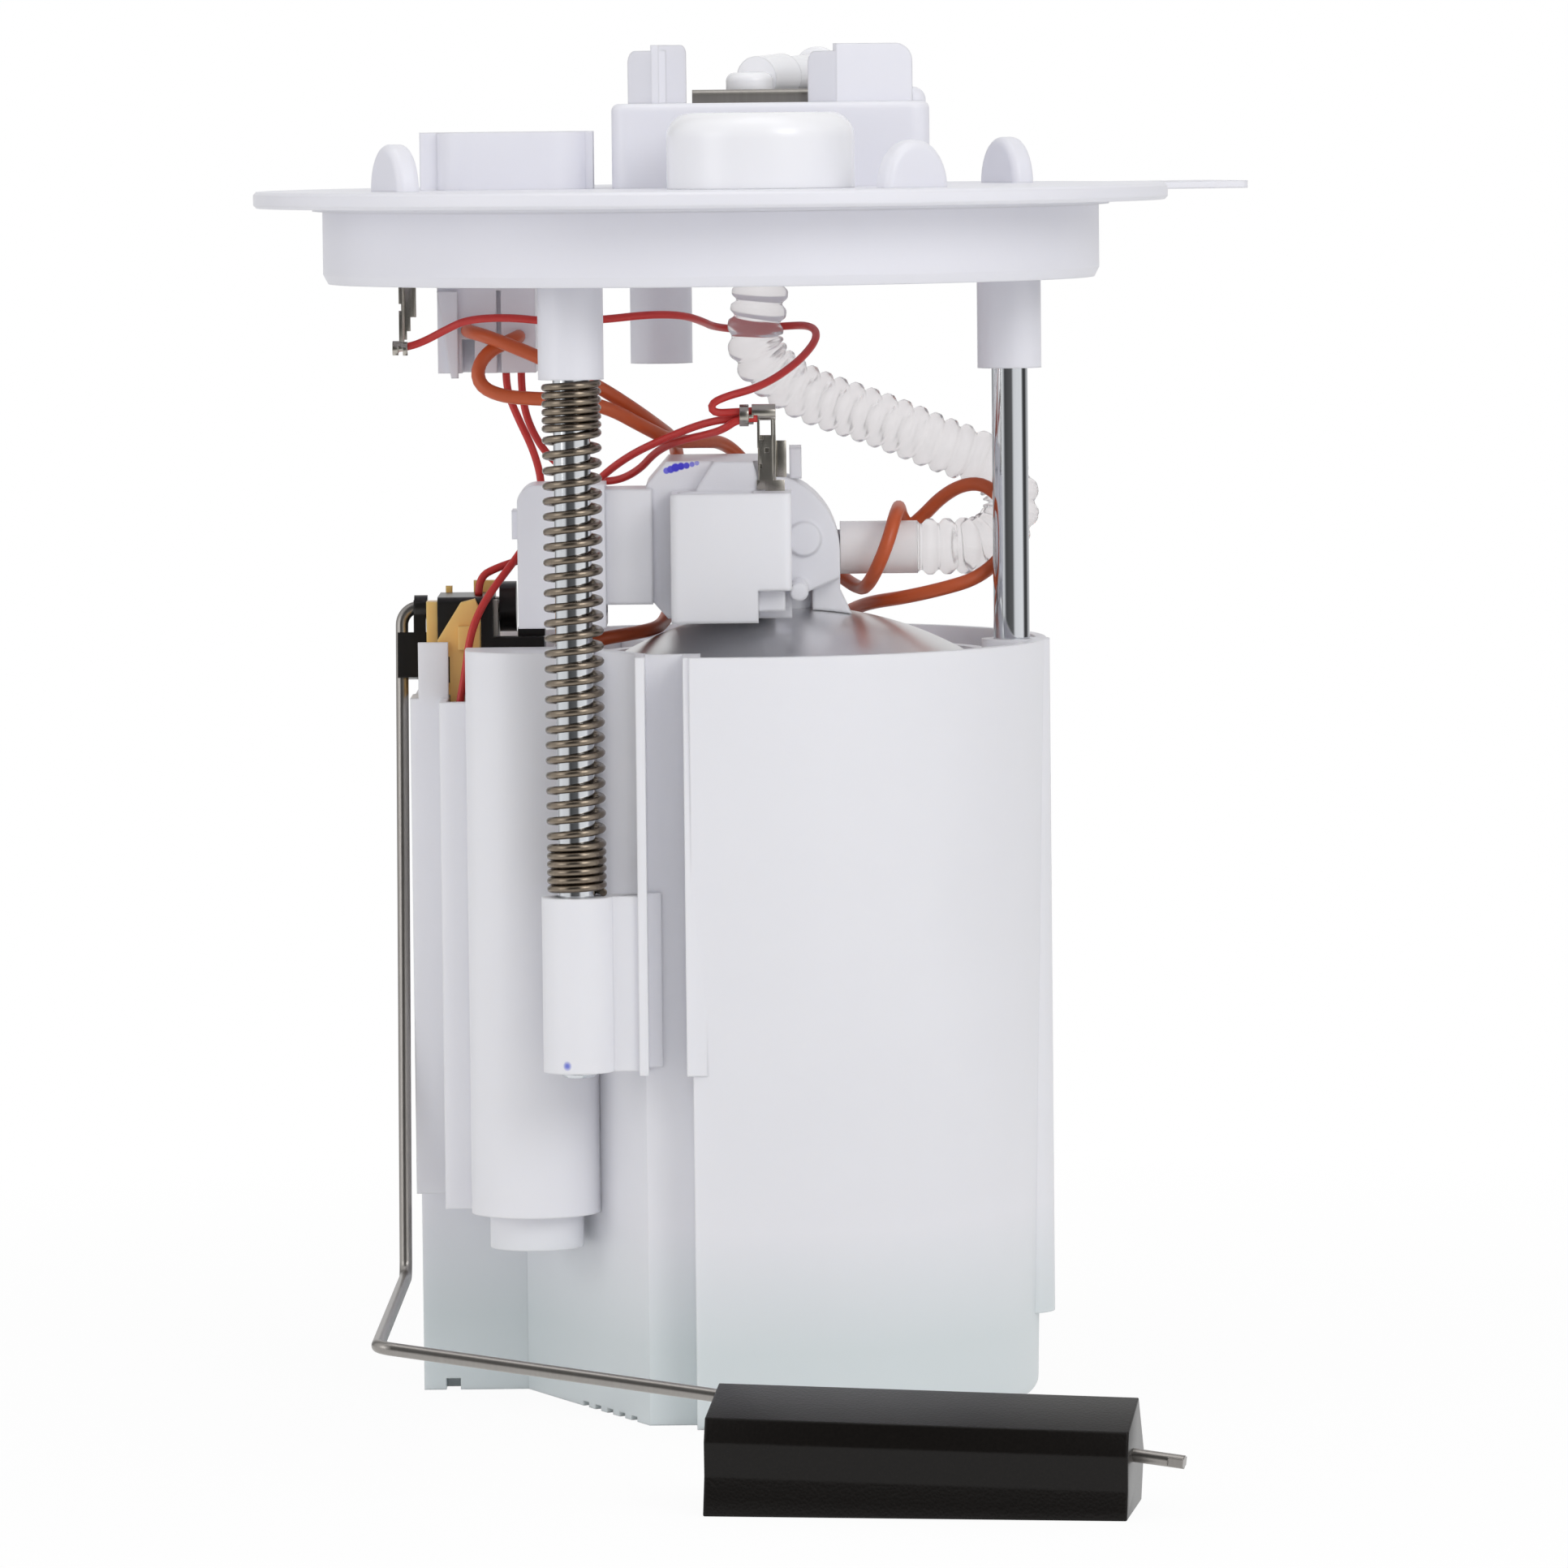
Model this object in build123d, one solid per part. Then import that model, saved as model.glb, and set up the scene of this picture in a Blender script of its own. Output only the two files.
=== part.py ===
from build123d import *
import os
from math import atan2, copysign, cos, degrees, pi, radians, sin, tan

# Fuel pump module that drops into a tank from above. Millimetres, +Z up, the flange's
# seating face at Z = 0 with the origin at its centre. -Y is the side with the float.

# Tank flange
PLATE_DIA = 151.4
PLATE_THICK = 2.7
PLATE_EDGE = 0.5
STEP_WIDTH = 1.7
STEP_DEEP = 0.6
COLLAR_DIA = 128.6
COLLAR_WALL = 2.0
COLLAR_DEPTH = 12.6
COLLAR_LEAD = 1.6
LUG_REACH = 93.0
LUG_WIDTH = 20.0
LUG_THICK = 1.25
LUG_ANGLE = 20.0
LUG_CORNER = 2.0
DOME_WIDTH = 12.3
DOME_HEIGHT = 7.7
DOME_THICK = 4.0
DOME_EDGE = 1.2
DOME_CIRCLE = 57.0
DOME_ANGLES = (-154.0, -55.0, 29.0)

# Guide rods, their bosses under the flange and their guides on the reservoir
ROD_DIA = 6.0
ROD_CLEARANCE = 0.05
BOSS_DEPTH = 27.6
BOSS_DIA = 10.6
ROD_GRIP = 20.0
LEFT_ROD = (-22.5, -44.0)
RIGHT_ROD = (49.2, -3.0)
SPARE_BOSS = (-9.0, 45.0)
LEFT_ROD_END = -140.5
RIGHT_ROD_END = -106.5
LEFT_GUIDE_TOP = -111.2
LEFT_GUIDE_END = -139.6
LEFT_GUIDE_DIA = 11.5
RIGHT_GUIDE_END = -102.0
RIGHT_GUIDE_DIA = 10.0
STOP_RING_DIA = 9.2
STOP_RING_THICK = 1.0

# Compression spring round the left rod
SPRING_DIA = 9.7
SPRING_WIRE = 1.25
SPRING_CLOSE_TURNS = 6
SPRING_OPEN_TURNS = 27
SPRING_STEPS = 8
SPRING_SIDES = 5

# Electrical socket on top of the flange, with the inner plug below it
SOCKET_CENTRE = (-32.7, -5.0)
SOCKET_WIDTH = 24.8
SOCKET_DEPTH = 16.0
SOCKET_TOP = 12.2
SOCKET_WALL = 1.6
SOCKET_ROUND = 6.0
KEY_DEPTH = 7.0
LEFT_KEY = 2.7
RIGHT_KEY = 1.1
PIN_WIDTH = 1.5
PIN_PITCH = 3.6
PIN_COUNT = 4
PIN_ROW_X = -42.6
PIN_ROW_Y = -0.8
PIN_TOP = 9.0
PIN_END = -12.0
PLUG_LEFT = -45.4
PLUG_RIGHT = -29.2
PLUG_FRONT = -3.6
PLUG_BACK = 11.0
PLUG_TOP = -2.0
PLUG_END = -27.6
PLUG_FINGER = ((-45.4, -14.0), (-42.0, -14.0), (-42.0, -28.4), (-43.2, -28.4))
PLUG_GAP = 0.15
SKIRT_WALL = 1.3
SKIRT_END = -11.0

# Vent valve cap
CAP_DIA = 30.5
CAP_CENTRE = (8.4, -32.0)
CAP_TOP = 15.0
CAP_ROUND = 4.0
CAP_WALL = 1.6
CAP_SPIGOT = 3.0

# Outlet tower with its ears, metal clip and outlet nipple
TOWER_LEFT = -16.1
TOWER_RIGHT = 36.2
TOWER_FRONT = -13.0
TOWER_BACK = 31.0
TOWER_TOP = 16.6
TOWER_ROUND = 3.0
SHOULDER_LEFT = 28.0
SHOULDER_FRONT = 4.0
SHOULDER_TOP = 19.0
SHOULDER_EDGE = 2.2
SHOULDER_INSET = 0.3
TOWER_EDGE = 1.2
EAR_CORNER_Y = -7.0
LEFT_EAR_X = -8.3
RIGHT_EAR_X = 21.0
# Each ear: its corner in X, its run in X and Y, its top, its thickness and its rounded corner
EARS = (
    (LEFT_EAR_X, -5.2, 6.5, 25.3, -1.6, 2.0), (LEFT_EAR_X, 4.5, 6.5, 26.2, 1.6, 1.5),
    (RIGHT_EAR_X, -4.7, 6.5, 25.0, -1.6, 2.0), (RIGHT_EAR_X, 12.6, 4.5, 26.2, 1.6, 3.0),
)
CLIP_THICK = 2.2
NIPPLE_CENTRE = (6.6, 8.0)
STUB_DIA = 7.8
STUB_TOP = 21.6
NIPPLE_START = (7.8, 10.2, 20.5)
NIPPLE_DIA = 6.3
NIPPLE_BORE = 3.9
NIPPLE_COLLAR_DIA = 7.6
NIPPLE_COLLAR = 9.0
NIPPLE_LENGTH = 31.0
NIPPLE_TURN = 62.0
NIPPLE_TILT = 3.0
BEAD_DIA = 8.6
BEAD_PLACE = 21.0
BEAD_WIDTH = 1.8
BEAD_EDGE = 0.6

# Fuel hose from the flange spigot to the filter head
HOSE_DIA = 9.4
SPIGOT_CENTRE = (8.1, 0.0)
SPIGOT_END = -12.0
CUFF_Y = 4.6
CUFF_Z = -57.5
CUFF_DIA = 8.8
CUFF_END = 33.8
CUFF_START = 20.9
BARB_DIA = 6.0
BARB_BORE = 4.0
BARB_END = 31.0

# Reservoir
RIM = -72.5
FOOT = -198.5
WALL = 1.8
FLOOR_THICK = 2.0
CHAMBER_CENTRE = (5.0, 1.0)
CHAMBER_TOP_DIA = 100.0
CHAMBER_FOOT_DIA = 95.4
FOOT_ROUND = 2.5
POCKET_LEFT = -50.3
POCKET_FRONT = 6.0
POCKET_BACK = 36.0
NOTCH_START = (-25.7, -9.0)
NOTCH_TURN = (-11.8, -38.0)
NOTCH_POINTS = (
    (-70.0, 6.0), (-32.8, 6.0), NOTCH_START, NOTCH_TURN, (-4.0, -38.0), (-4.0, -70.0), (-70.0, -70.0),
)
STEP_HEIGHT = -81.4
RAIL_LEFT = -50.7
RAIL_RIGHT = -45.5
RAIL_FRONT = -5.0
RAIL_END = -164.0
RIDGE_FRONT = -16.0
RISER_CENTRE = (-30.3, -20.0)
RISER_DIA = 21.4
RISER_END = -165.3
RISER_TIP_DIA = 15.4
RISER_TIP_END = -171.0
SENDER_BAY_LEFT = -44.3
SENDER_BAY_RIGHT = -26.6
SENDER_BAY_FRONT = -13.6
SENDER_BAY_FLOOR = -118.0
RIB_END = -140.3
RIB_FRONT = -46.0
BRACE_LENGTH = 14.5
BRACE_ANGLE = 25.6
NARROW_RIB = (-12.7, -11.2)
WIDE_RIB = (-5.0, -1.7)
CHANNEL_DIA = 12.6
CHANNEL_BORE = 9.8
CHANNEL_END = -184.7
FLAP_LEFT = -49.3
FLAP_RIGHT = -43.4
FLAP_THICK = 0.9
SCALLOPS = 5
SCALLOP_FIRST = 7.0
SCALLOP_PITCH = 4.776
SCALLOP_WIDTH = 2.2
SCALLOP_HIGH = 0.8
VALVE_CENTRE = (-38.0, 21.0)
VALVE_SEAT_DIA = 12.0
VALVE_PORT_DIA = 3.0

# Filter canister, its ring, and the pump below it, all on one axis
PUMP_AXIS = (12.9, 0.0)
CANISTER_DIA = 61.4
CANISTER_WALL = 0.8
CANISTER_TOP = -67.0
CANISTER_END = -118.0
DOME_SPHERE = 58.0
SHOULDER_ROUND = 2.6
SEAM_DIA = 63.0
SEAM_HIGH = 2.4
PORT_DIA = 8.0
ELEMENT_DIA = 56.0
ELEMENT_BORE = 24.0
ELEMENT_TOP = -82.0
ELEMENT_END = -115.4
PLEATS = 24
PLEAT_DEEP = 2.6
RING_TOP = -74.6
RING_THICK = 2.4
RING_DIA = 67.0
RING_ARMS = (60.0, 120.0, 215.0, 290.0)
RING_ARM_WIDTH = 7.0
PUMP_DIA = 38.0
PUMP_WALL = 1.2
PUMP_TOP = -122.0
PUMP_END = -188.0
OUTLET_CAP_HIGH = 7.0
INLET_CAP_HIGH = 9.0
PUMP_NIPPLE_DIA = 8.0
MAGNET_THICK = 3.6
MAGNET_GAP_ANGLE = 50.0
AIR_GAP = 0.6
SHAFT_DIA = 3.0
IMPELLER_DIA = 30.0
IMPELLER_THICK = 3.0
IMPELLER_BLADES = 20
BLADE_DEEP = 2.4
BLADE_GAP = 2.4
ISOLATOR_THICK = 1.8
ISOLATOR_LOW = -188.0
ISOLATOR_HIGH = -170.0
CRADLE_WALL = 1.6
CRADLE_TOP = -172.0
CRADLE_SLOTS = (30.0, 150.0, 270.0)
STRAINER_DIA = 36.0
STRAINER_HIGH = 5.6

# Filter head on the dome
HEAD_LEFT = -11.0
HEAD_RIGHT = 20.8
HEAD_TOP = -42.0
HEAD_FRONT = -18.0
HEAD_BACK = 13.0
HEAD_LOW = -67.8
HEAD_CORNER = 3.4
ARCH_FRONT = -10.0
ARCH_BACK = 11.0
ARCH_RADIUS = 13.0
ARCH_LOW = -61.8
HEAD_EYE = (14.9, ARCH_FRONT, -55.3)
HEAD_ROD = (14.0, -24.0, -63.3)
BOX_LEFT = -6.9
BOX_RIGHT = 12.8
BOX_FRONT = -32.0
BOX_TOP = -46.8
BOX_LOW = -67.9
BOX_WALL = 1.4
SEAT_GAP = 0.15
COVER_LEFT = -32.1
COVER_RIGHT = -17.7
COVER_FRONT = -22.0
COVER_BACK = -6.0
COVER_TOP = -45.5
COVER_LOW = -69.0
CASE_FRONT = -20.5
CASE_TOP = -46.4
CASE_LOW = -65.3
REGULATOR_DIA = 11.0
REGULATOR_Y = (COVER_FRONT + COVER_BACK) / 2
REGULATOR_Z = (CASE_LOW + CASE_TOP) / 2

# Spade terminal on the head, and the like under the flange
SPADE_X = 10.2
SPADE_Y = -21.5
SPADE_TOP = -32.9
SPADE_WIDTH = 3.6
SPADE_THICK = 1.4
SPADE_SEAT = 5.0
SPADE_BARREL = 1.6
SPADE_BARREL_ENDS = (7.4, 12.2)
GROUND_X = -49.4
GROUND_Y = -10.0
GROUND_TOP = -0.6
GROUND_END = -23.0
GROUND_WIDTH = 3.2
GROUND_THICK = 0.8
GROUND_BARREL = 1.2
GROUND_BARREL_ENDS = (-50.8, -48.2)

# Level sender, float arm and float
PIVOT_Y = 8.0
PIVOT_Z = -66.9
ARM_WIRE = 2.1
ARM_X = -52.4
ARM_END_X = -33.2
CARD_THICK = 0.7
WIPER_REACH = 6.4
ARM_KNEE = (-52.4, -12.0, -177.0)
ARM_TURN = (-52.9, -108.0, -175.5)
ARM_TIP = (71.0, -138.0, -190.3)
ARM_BEND = 3.0
FLOAT_LENGTH = 65.0
FLOAT_HOLE = 2.3
FLOAT_CORNER = (0.0, -120.6, -181.9)
FLOAT_RUN = (65.0, -9.5, -1.6)
FLOAT_SECTION = (
    (-0.8, 1.9), (13.4, -0.4), (14.6, -4.0), (14.0, -9.4), (15.2, -15.4), (-6.0, -15.4), (-9.0, -8.0),
)
FLOAT_NOTCH = ((10.0, -9.0), (16.0, -9.0), (16.0, -12.6), (11.4, -12.0))
NOTCH_LENGTH = 2.0
CARRIER_LEFT = -46.1
CARRIER_RIGHT = -36.9
CARRIER_FRONT = -2.0
CARRIER_BACK = 15.0
CARRIER_TOP = -64.8
CARRIER_LOW = -79.0
HUB_LEFT = -36.0
HUB_RIGHT = -33.2
HUB_DIA = 8.4
BRACKET_TOP = -65.6
BRACKET_THICK = 1.6
BLOCK_RIGHT = -28.4
BRACKET_FOOT = -112.0

# Cords. The routes are points chosen by hand, from the flange end to the head end.
ARC_SHARE = 0.45
THIN_WIRE = 1.3
THICK_WIRE = 2.3
HOSE_ROUTE = (
    (8.1, 0.0, -12.0), (8.1, 0.0, -16.5), (6.4, 0.5, -24.5), (13.4, 2.5, -31.3), (28.2, 6.5, -36.4),
    (38.2, 9.0, -40.8), (45.3, 10.0, -43.3), (49.7, 10.6, -47.6), (49.7, 10.2, -53.4), (45.4, 7.4, -57.4),
    (39.4, 4.6, -57.5), (33.8, 4.6, -57.5),
)
GROUND_LEAD_ROUTE = (
    (-48.2, -10.0, -21.8), (-46.2, -10.0, -21.8), (-43.8, -11.6, -20.2), (-40.2, -13.6, -18.5),
    (-33.6, -15.6, -18.1), (-26.3, -17.0, -18.9), (-18.2, -17.4, -18.7), (-10.2, -15.6, -17.9),
    (-4.6, -10.6, -18.2), (-1.6, -3.6, -19.4), (0.4, 3.8, -20.6), (5.6, 8.8, -21.2), (12.0, 8.6, -20.6),
    (16.4, 3.6, -21.2), (17.4, -3.4, -23.6), (14.6, -10.4, -26.4), (9.8, -15.8, -28.2), (4.6, -19.2, -28.8),
    (0.4, -20.8, -29.6), (-1.8, -21.4, -31.4), (0.0, -21.6, -33.4), (3.6, -21.5, -33.7), (7.4, -21.5, -33.7),
)
SENDER_LEAD_ROUTE = (
    (-34.3, 2.0, -27.6), (-34.3, 2.0, -30.6), (-32.4, 0.4, -35.2), (-29.9, -0.4, -40.4),
    (-28.6, 0.8, -45.4), (-28.8, 2.4, -50.2), (-30.4, 2.4, -54.8), (-33.0, 0.4, -58.6),
    (-36.2, -2.8, -62.6), (-38.8, -5.6, -66.4), (-40.6, -7.2, -71.0), (-41.4, -7.4, -77.0),
    (-42.6, -7.3, -83.0), (-43.0, -7.0, -88.0), (-43.0, -3.6, -88.0),
)
RETURN_LEAD_ROUTE = (
    (7.4, -20.8, -34.9), (3.2, -20.8, -34.9), (-1.6, -17.2, -35.8), (-7.8, -11.4, -38.4),
    (-14.0, -6.0, -41.4), (-19.4, -1.4, -45.6), (-23.8, 1.4, -51.0), (-27.2, 4.2, -56.2),
    (-31.6, 5.2, -58.8), (-36.2, 4.6, -60.2), (-39.4, 3.6, -61.8), (-39.4, 3.6, -64.8),
)
HEAD_LEAD_ROUTE = (
    (-31.9, 6.0, -27.6), (-31.9, 6.0, -32.0), (-30.4, 5.0, -37.4), (-27.2, 5.8, -42.4), (-22.6, 7.4, -45.6),
    (-17.0, 7.0, -46.4), (-12.6, 2.6, -44.4), (-9.4, -4.0, -40.7), (-5.4, -11.0, -38.8), (-0.6, -17.4, -37.6),
    (2.0, -21.8, -36.6), (4.4, -22.3, -34.9), (7.4, -22.3, -34.9),
)
PUMP_LEAD_A_ROUTE = (
    (-40.4, -3.6, -20.5), (-40.4, -7.6, -20.5), (-37.4, -11.4, -21.2), (-31.6, -13.2, -23.4),
    (-25.0, -13.9, -26.4), (-18.4, -12.4, -29.9), (-12.6, -6.8, -34.0), (-8.8, 1.2, -37.2),
    (-7.0, 9.4, -39.0), (-6.2, 17.0, -41.4), (-5.6, 19.6, -50.2), (-6.2, 18.4, -60.8), (-7.4, 15.4, -67.6),
    (-8.8, 8.4, -70.2), (-10.6, -0.6, -70.6), (-14.6, -6.6, -71.0), (-20.4, -8.4, -71.8),
    (-22.6, -7.6, -76.2), (-22.7, -6.4, -84.0), (-22.6, -4.8, -96.0), (-22.2, -3.4, -110.0),
    (-20.2, -2.6, -120.4), (-16.2, -2.6, -125.3), (-9.8, -2.6, -125.3),
)
PUMP_LEAD_B_ROUTE = (
    (-32.0, -3.6, -21.6), (-32.0, -6.4, -21.6), (-33.8, -8.6, -22.4), (-36.8, -9.2, -23.8),
    (-38.8, -10.0, -26.6), (-38.2, -11.2, -29.6), (-34.6, -12.6, -31.2), (-29.2, -14.2, -31.6),
    (-23.1, -15.2, -31.8), (-17.0, -13.6, -33.2), (-11.4, -8.2, -36.6), (-6.6, -1.2, -39.4),
    (-2.4, 6.6, -39.6), (1.6, 14.4, -40.0), (5.4, 19.8, -43.8), (9.8, 20.8, -50.8), (15.4, 18.4, -57.8),
    (20.8, 13.2, -62.6), (24.2, 6.4, -64.6), (25.4, -1.0, -63.6), (27.0, -6.6, -60.4), (28.8, -7.0, -56.0),
    (30.0, -4.2, -52.2), (30.6, 1.0, -51.1), (31.4, 5.8, -51.0), (34.2, 9.0, -50.6), (38.0, 9.2, -49.2),
    (41.4, 6.6, -47.6), (44.6, 4.2, -47.2), (47.4, 3.2, -49.0), (49.2, 2.7, -52.0), (49.6, 2.5, -55.6),
    (47.6, 1.8, -59.6), (43.4, 0.6, -62.8), (37.6, 0.0, -64.4),
    (31.4, 1.8, -65.8), (26.4, 7.8, -66.8), (23.6, 17.0, -68.2), (21.2, 26.8, -70.0), (18.8, 34.6, -72.6),
    (16.8, 36.4, -79.0), (14.0, 36.6, -88.0), (7.0, 36.4, -99.0), (-4.0, 32.8, -110.0), (-12.6, 23.0, -119.0),
    (-17.0, 12.0, -123.8), (-17.4, 5.6, -125.2), (-14.2, 2.6, -125.3), (-9.8, 2.6, -125.3),
)


def disc(radius, height):
    """A cylinder that stands on the XY plane."""
    return Cylinder(radius, height, align=(Align.CENTER, Align.CENTER, Align.MIN))


def post(radius, low, high, at=(0.0, 0.0)):
    """An upright cylinder from height low to height high."""
    return Pos(at[0], at[1], low) * disc(radius, high - low)


def ring(outer, inner, low, high, at=(0.0, 0.0)):
    """An upright ring between two radii."""
    return post(outer, low, high, at) - post(inner, low - 1, high + 1, at)


def shaft(radius, left, right, y, z):
    """A cylinder that lies along X."""
    return Pos(left, y, z) * Rot(0, 90, 0) * disc(radius, right - left)


def at_pump(shape):
    """Moves a shape from the Z axis to the pump's axis."""
    return Pos(PUMP_AXIS[0], PUMP_AXIS[1], 0) * shape


def around(value, half):
    """The two values that lie half a width each side of one."""
    return value - half, value + half


def span(x, y, z):
    """A box between the two values given for each axis."""
    centre = Pos((x[0] + x[1]) / 2, (y[0] + y[1]) / 2, (z[0] + z[1]) / 2)
    return centre * Box(x[1] - x[0], y[1] - y[0], z[1] - z[0])


def front_profile(outline, front, back):
    """A prism whose outline is drawn in X and Z and that runs from front to back along Y."""
    face = make_face(Polyline(*outline, close=True)) if isinstance(outline, tuple) else outline
    return extrude(Plane.XZ.offset(-front) * face, front - back)


def standing_plate(start, end, low, high, thick, round_off):
    """An upright plate between two plan points, with its far top corner rounded off."""
    run = Vector(end[0] - start[0], end[1] - start[1])
    plane = Plane(origin=(start[0], start[1], low), x_dir=(run.X, run.Y, 0), z_dir=(run.Y, -run.X, 0))
    outline = Rectangle(run.length, high - low, align=(Align.MIN, Align.MIN))
    corner = outline.vertices().sort_by(Axis.X)[-2:].sort_by(Axis.Y)[-1]
    return extrude(plane * fillet(corner, round_off), -thick)


def connector_pins():
    """The contact pins, which run through the plate from the socket into the plug."""
    half = PIN_WIDTH / 2
    pins = []
    for index in range(PIN_COUNT):
        x = PIN_ROW_X + index * PIN_PITCH
        pin = span(around(x, half), around(PIN_ROW_Y, half), (PIN_END, PIN_TOP))
        pins.append(chamfer(pin.faces().sort_by(Axis.Z)[-1].edges(), 0.4))
    return pins


def socket_shroud():
    """The oval shroud round the pins, open at the top, with a key rib at each end."""
    oval = Pos(*SOCKET_CENTRE) * RectangleRounded(SOCKET_WIDTH, SOCKET_DEPTH, SOCKET_ROUND)
    left = SOCKET_CENTRE[0] - SOCKET_WIDTH / 2
    right = SOCKET_CENTRE[0] + SOCKET_WIDTH / 2
    key = around(SOCKET_CENTRE[1], KEY_DEPTH / 2)
    body = Pos(0, 0, PLATE_THICK) * extrude(oval, SOCKET_TOP - PLATE_THICK)
    body += span((left - LEFT_KEY, left + SOCKET_WALL), key, (PLATE_THICK, SOCKET_TOP))
    body += span((right - SOCKET_WALL, right + RIGHT_KEY), key, (PLATE_THICK, SOCKET_TOP))
    return body - Pos(0, 0, PLATE_THICK) * extrude(offset(oval, -SOCKET_WALL), SOCKET_TOP)


def plug_outline(grow):
    """The inner plug's plan, grown by a clearance or a wall."""
    return (PLUG_LEFT - grow, PLUG_RIGHT + grow), (PLUG_FRONT - grow, PLUG_BACK + grow)


def outlet_tower():
    """The box that stands on the plate, with a raised shoulder and two angled ears."""
    body = span((TOWER_LEFT, TOWER_RIGHT), (TOWER_FRONT, TOWER_BACK), (0.5, TOWER_TOP))
    body = fillet(body.edges().filter_by(Axis.Z), TOWER_ROUND)
    body = fillet(body.faces().sort_by(Axis.Z)[-1].edges(), TOWER_EDGE)
    across = (SHOULDER_LEFT, TOWER_RIGHT - SHOULDER_INSET)
    shoulder = span(across, (SHOULDER_FRONT, TOWER_BACK - SHOULDER_INSET), (TOWER_TOP - 4, SHOULDER_TOP))
    rounded = shoulder.edges().filter_by(Axis.Z) + shoulder.faces().sort_by(Axis.Z)[-1].edges()
    body += fillet(rounded, SHOULDER_EDGE)
    for x, run_x, run_y, top, thick, round_off in EARS:
        end = (x + run_x, EAR_CORNER_Y + run_y)
        body += standing_plate((x, EAR_CORNER_Y), end, TOWER_TOP - 1.5, top, thick, round_off)
    return body


def grip_dome(angle):
    """A half-round grip tab that stands on the plate, square to its radius."""
    upper = Rectangle(DOME_WIDTH, DOME_HEIGHT, align=(Align.CENTER, Align.MIN))
    outline = Ellipse(DOME_WIDTH / 2, DOME_HEIGHT) & upper
    tab = extrude(Plane.XZ * outline, DOME_THICK / 2, both=True)
    tab = fillet(tab.edges().filter_by(GeomType.ELLIPSE), DOME_EDGE)
    return Rot(0, 0, angle + 90) * Pos(0, -DOME_CIRCLE, PLATE_THICK) * tab


def make_flange():
    """The flange moulding: plate, collar, bosses, socket, tower and spigot in one piece."""
    collar = COLLAR_DIA / 2
    plate = chamfer(post(PLATE_DIA / 2, 0, PLATE_THICK).edges(), PLATE_EDGE)
    body = plate + post(collar + STEP_WIDTH, -STEP_DEEP, 0.5)
    skirt = post(collar, -COLLAR_DEPTH, 0.5)
    body += chamfer(skirt.faces().sort_by(Axis.Z)[0].edges(), COLLAR_LEAD, COLLAR_LEAD * 0.5)
    body -= post(collar - COLLAR_WALL, -COLLAR_DEPTH - 1, 0)
    height = (PLATE_THICK - LUG_THICK, PLATE_THICK)
    lug = span((PLATE_DIA / 2 - 4, LUG_REACH), (-LUG_WIDTH / 2, LUG_WIDTH / 2), height)
    lug = fillet(lug.edges().filter_by(Axis.Z).sort_by(Axis.X)[-2:], LUG_CORNER)
    body += Rot(0, 0, LUG_ANGLE) * lug
    for at in (LEFT_ROD, RIGHT_ROD, SPARE_BOSS):
        body += post(BOSS_DIA / 2, -BOSS_DEPTH, 0.5, at)
    for at in (LEFT_ROD, RIGHT_ROD, SPARE_BOSS):
        body -= post(ROD_DIA / 2, -BOSS_DEPTH - 1, ROD_GRIP - BOSS_DEPTH, at)
    for angle in DOME_ANGLES:
        body += grip_dome(angle)
    body += socket_shroud()
    body += outlet_tower()
    cap_bore = CAP_DIA / 2 - CAP_WALL
    body += ring(cap_bore - PLUG_GAP, cap_bore - CAP_WALL, 0.5, PLATE_THICK + CAP_SPIGOT, CAP_CENTRE)
    body += post(HOSE_DIA / 2 + 0.4, SPIGOT_END, 0.5, SPIGOT_CENTRE)
    body -= post(BARB_BORE / 2, SPIGOT_END - 1, TOWER_TOP - 3, SPIGOT_CENTRE)
    outer = plug_outline(PLUG_GAP + SKIRT_WALL)
    inner = plug_outline(PLUG_GAP)
    body += span(outer[0], outer[1], (SKIRT_END, 0.5)) - span(inner[0], inner[1], (SKIRT_END - 1, 0))
    body += span(around(GROUND_X, 2.4), around(GROUND_Y, 1.6), (GROUND_TOP - 3, 0.5))
    slot_x, slot_y = around(GROUND_X, GROUND_WIDTH / 2), around(GROUND_Y, GROUND_THICK / 2)
    body -= span(slot_x, slot_y, (GROUND_TOP - 4, GROUND_TOP))
    for pin in connector_pins():
        body -= pin
    return body


def make_inner_plug():
    """The plug under the flange, with latch fingers and a notch along its lower edge."""
    body = span((PLUG_LEFT, PLUG_RIGHT), (PLUG_FRONT, PLUG_BACK), (PLUG_END, PLUG_TOP))
    body -= span((-41.4, -39.3), (PLUG_FRONT - 1, PLUG_FRONT + 6), (PLUG_END - 1, -22.0))
    body -= span((-35.6, -34.9), (PLUG_FRONT - 1, PLUG_FRONT + 1.2), (PLUG_END - 1, SKIRT_END - 3))
    body += front_profile(PLUG_FINGER, PLUG_FRONT - 1.2, PLUG_FRONT + 0.4)
    for pin in connector_pins():
        body -= pin
    return body


def make_vent_cap():
    """The round cap over the vent valve, hollow, with a large rounded top edge."""
    body = post(CAP_DIA / 2, PLATE_THICK, CAP_TOP, CAP_CENTRE)
    body = fillet(body.faces().sort_by(Axis.Z)[-1].edges(), CAP_ROUND)
    return body - post(CAP_DIA / 2 - CAP_WALL, PLATE_THICK - 1, CAP_TOP - CAP_WALL * 2, CAP_CENTRE)


def nipple_frame():
    """The frame of the outlet tube: its Z runs out along the tube."""
    turn, tilt = radians(NIPPLE_TURN), radians(NIPPLE_TILT)
    out = Vector(cos(turn) * cos(tilt), sin(turn) * cos(tilt), sin(tilt))
    return Plane(origin=NIPPLE_START, z_dir=out)


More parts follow.
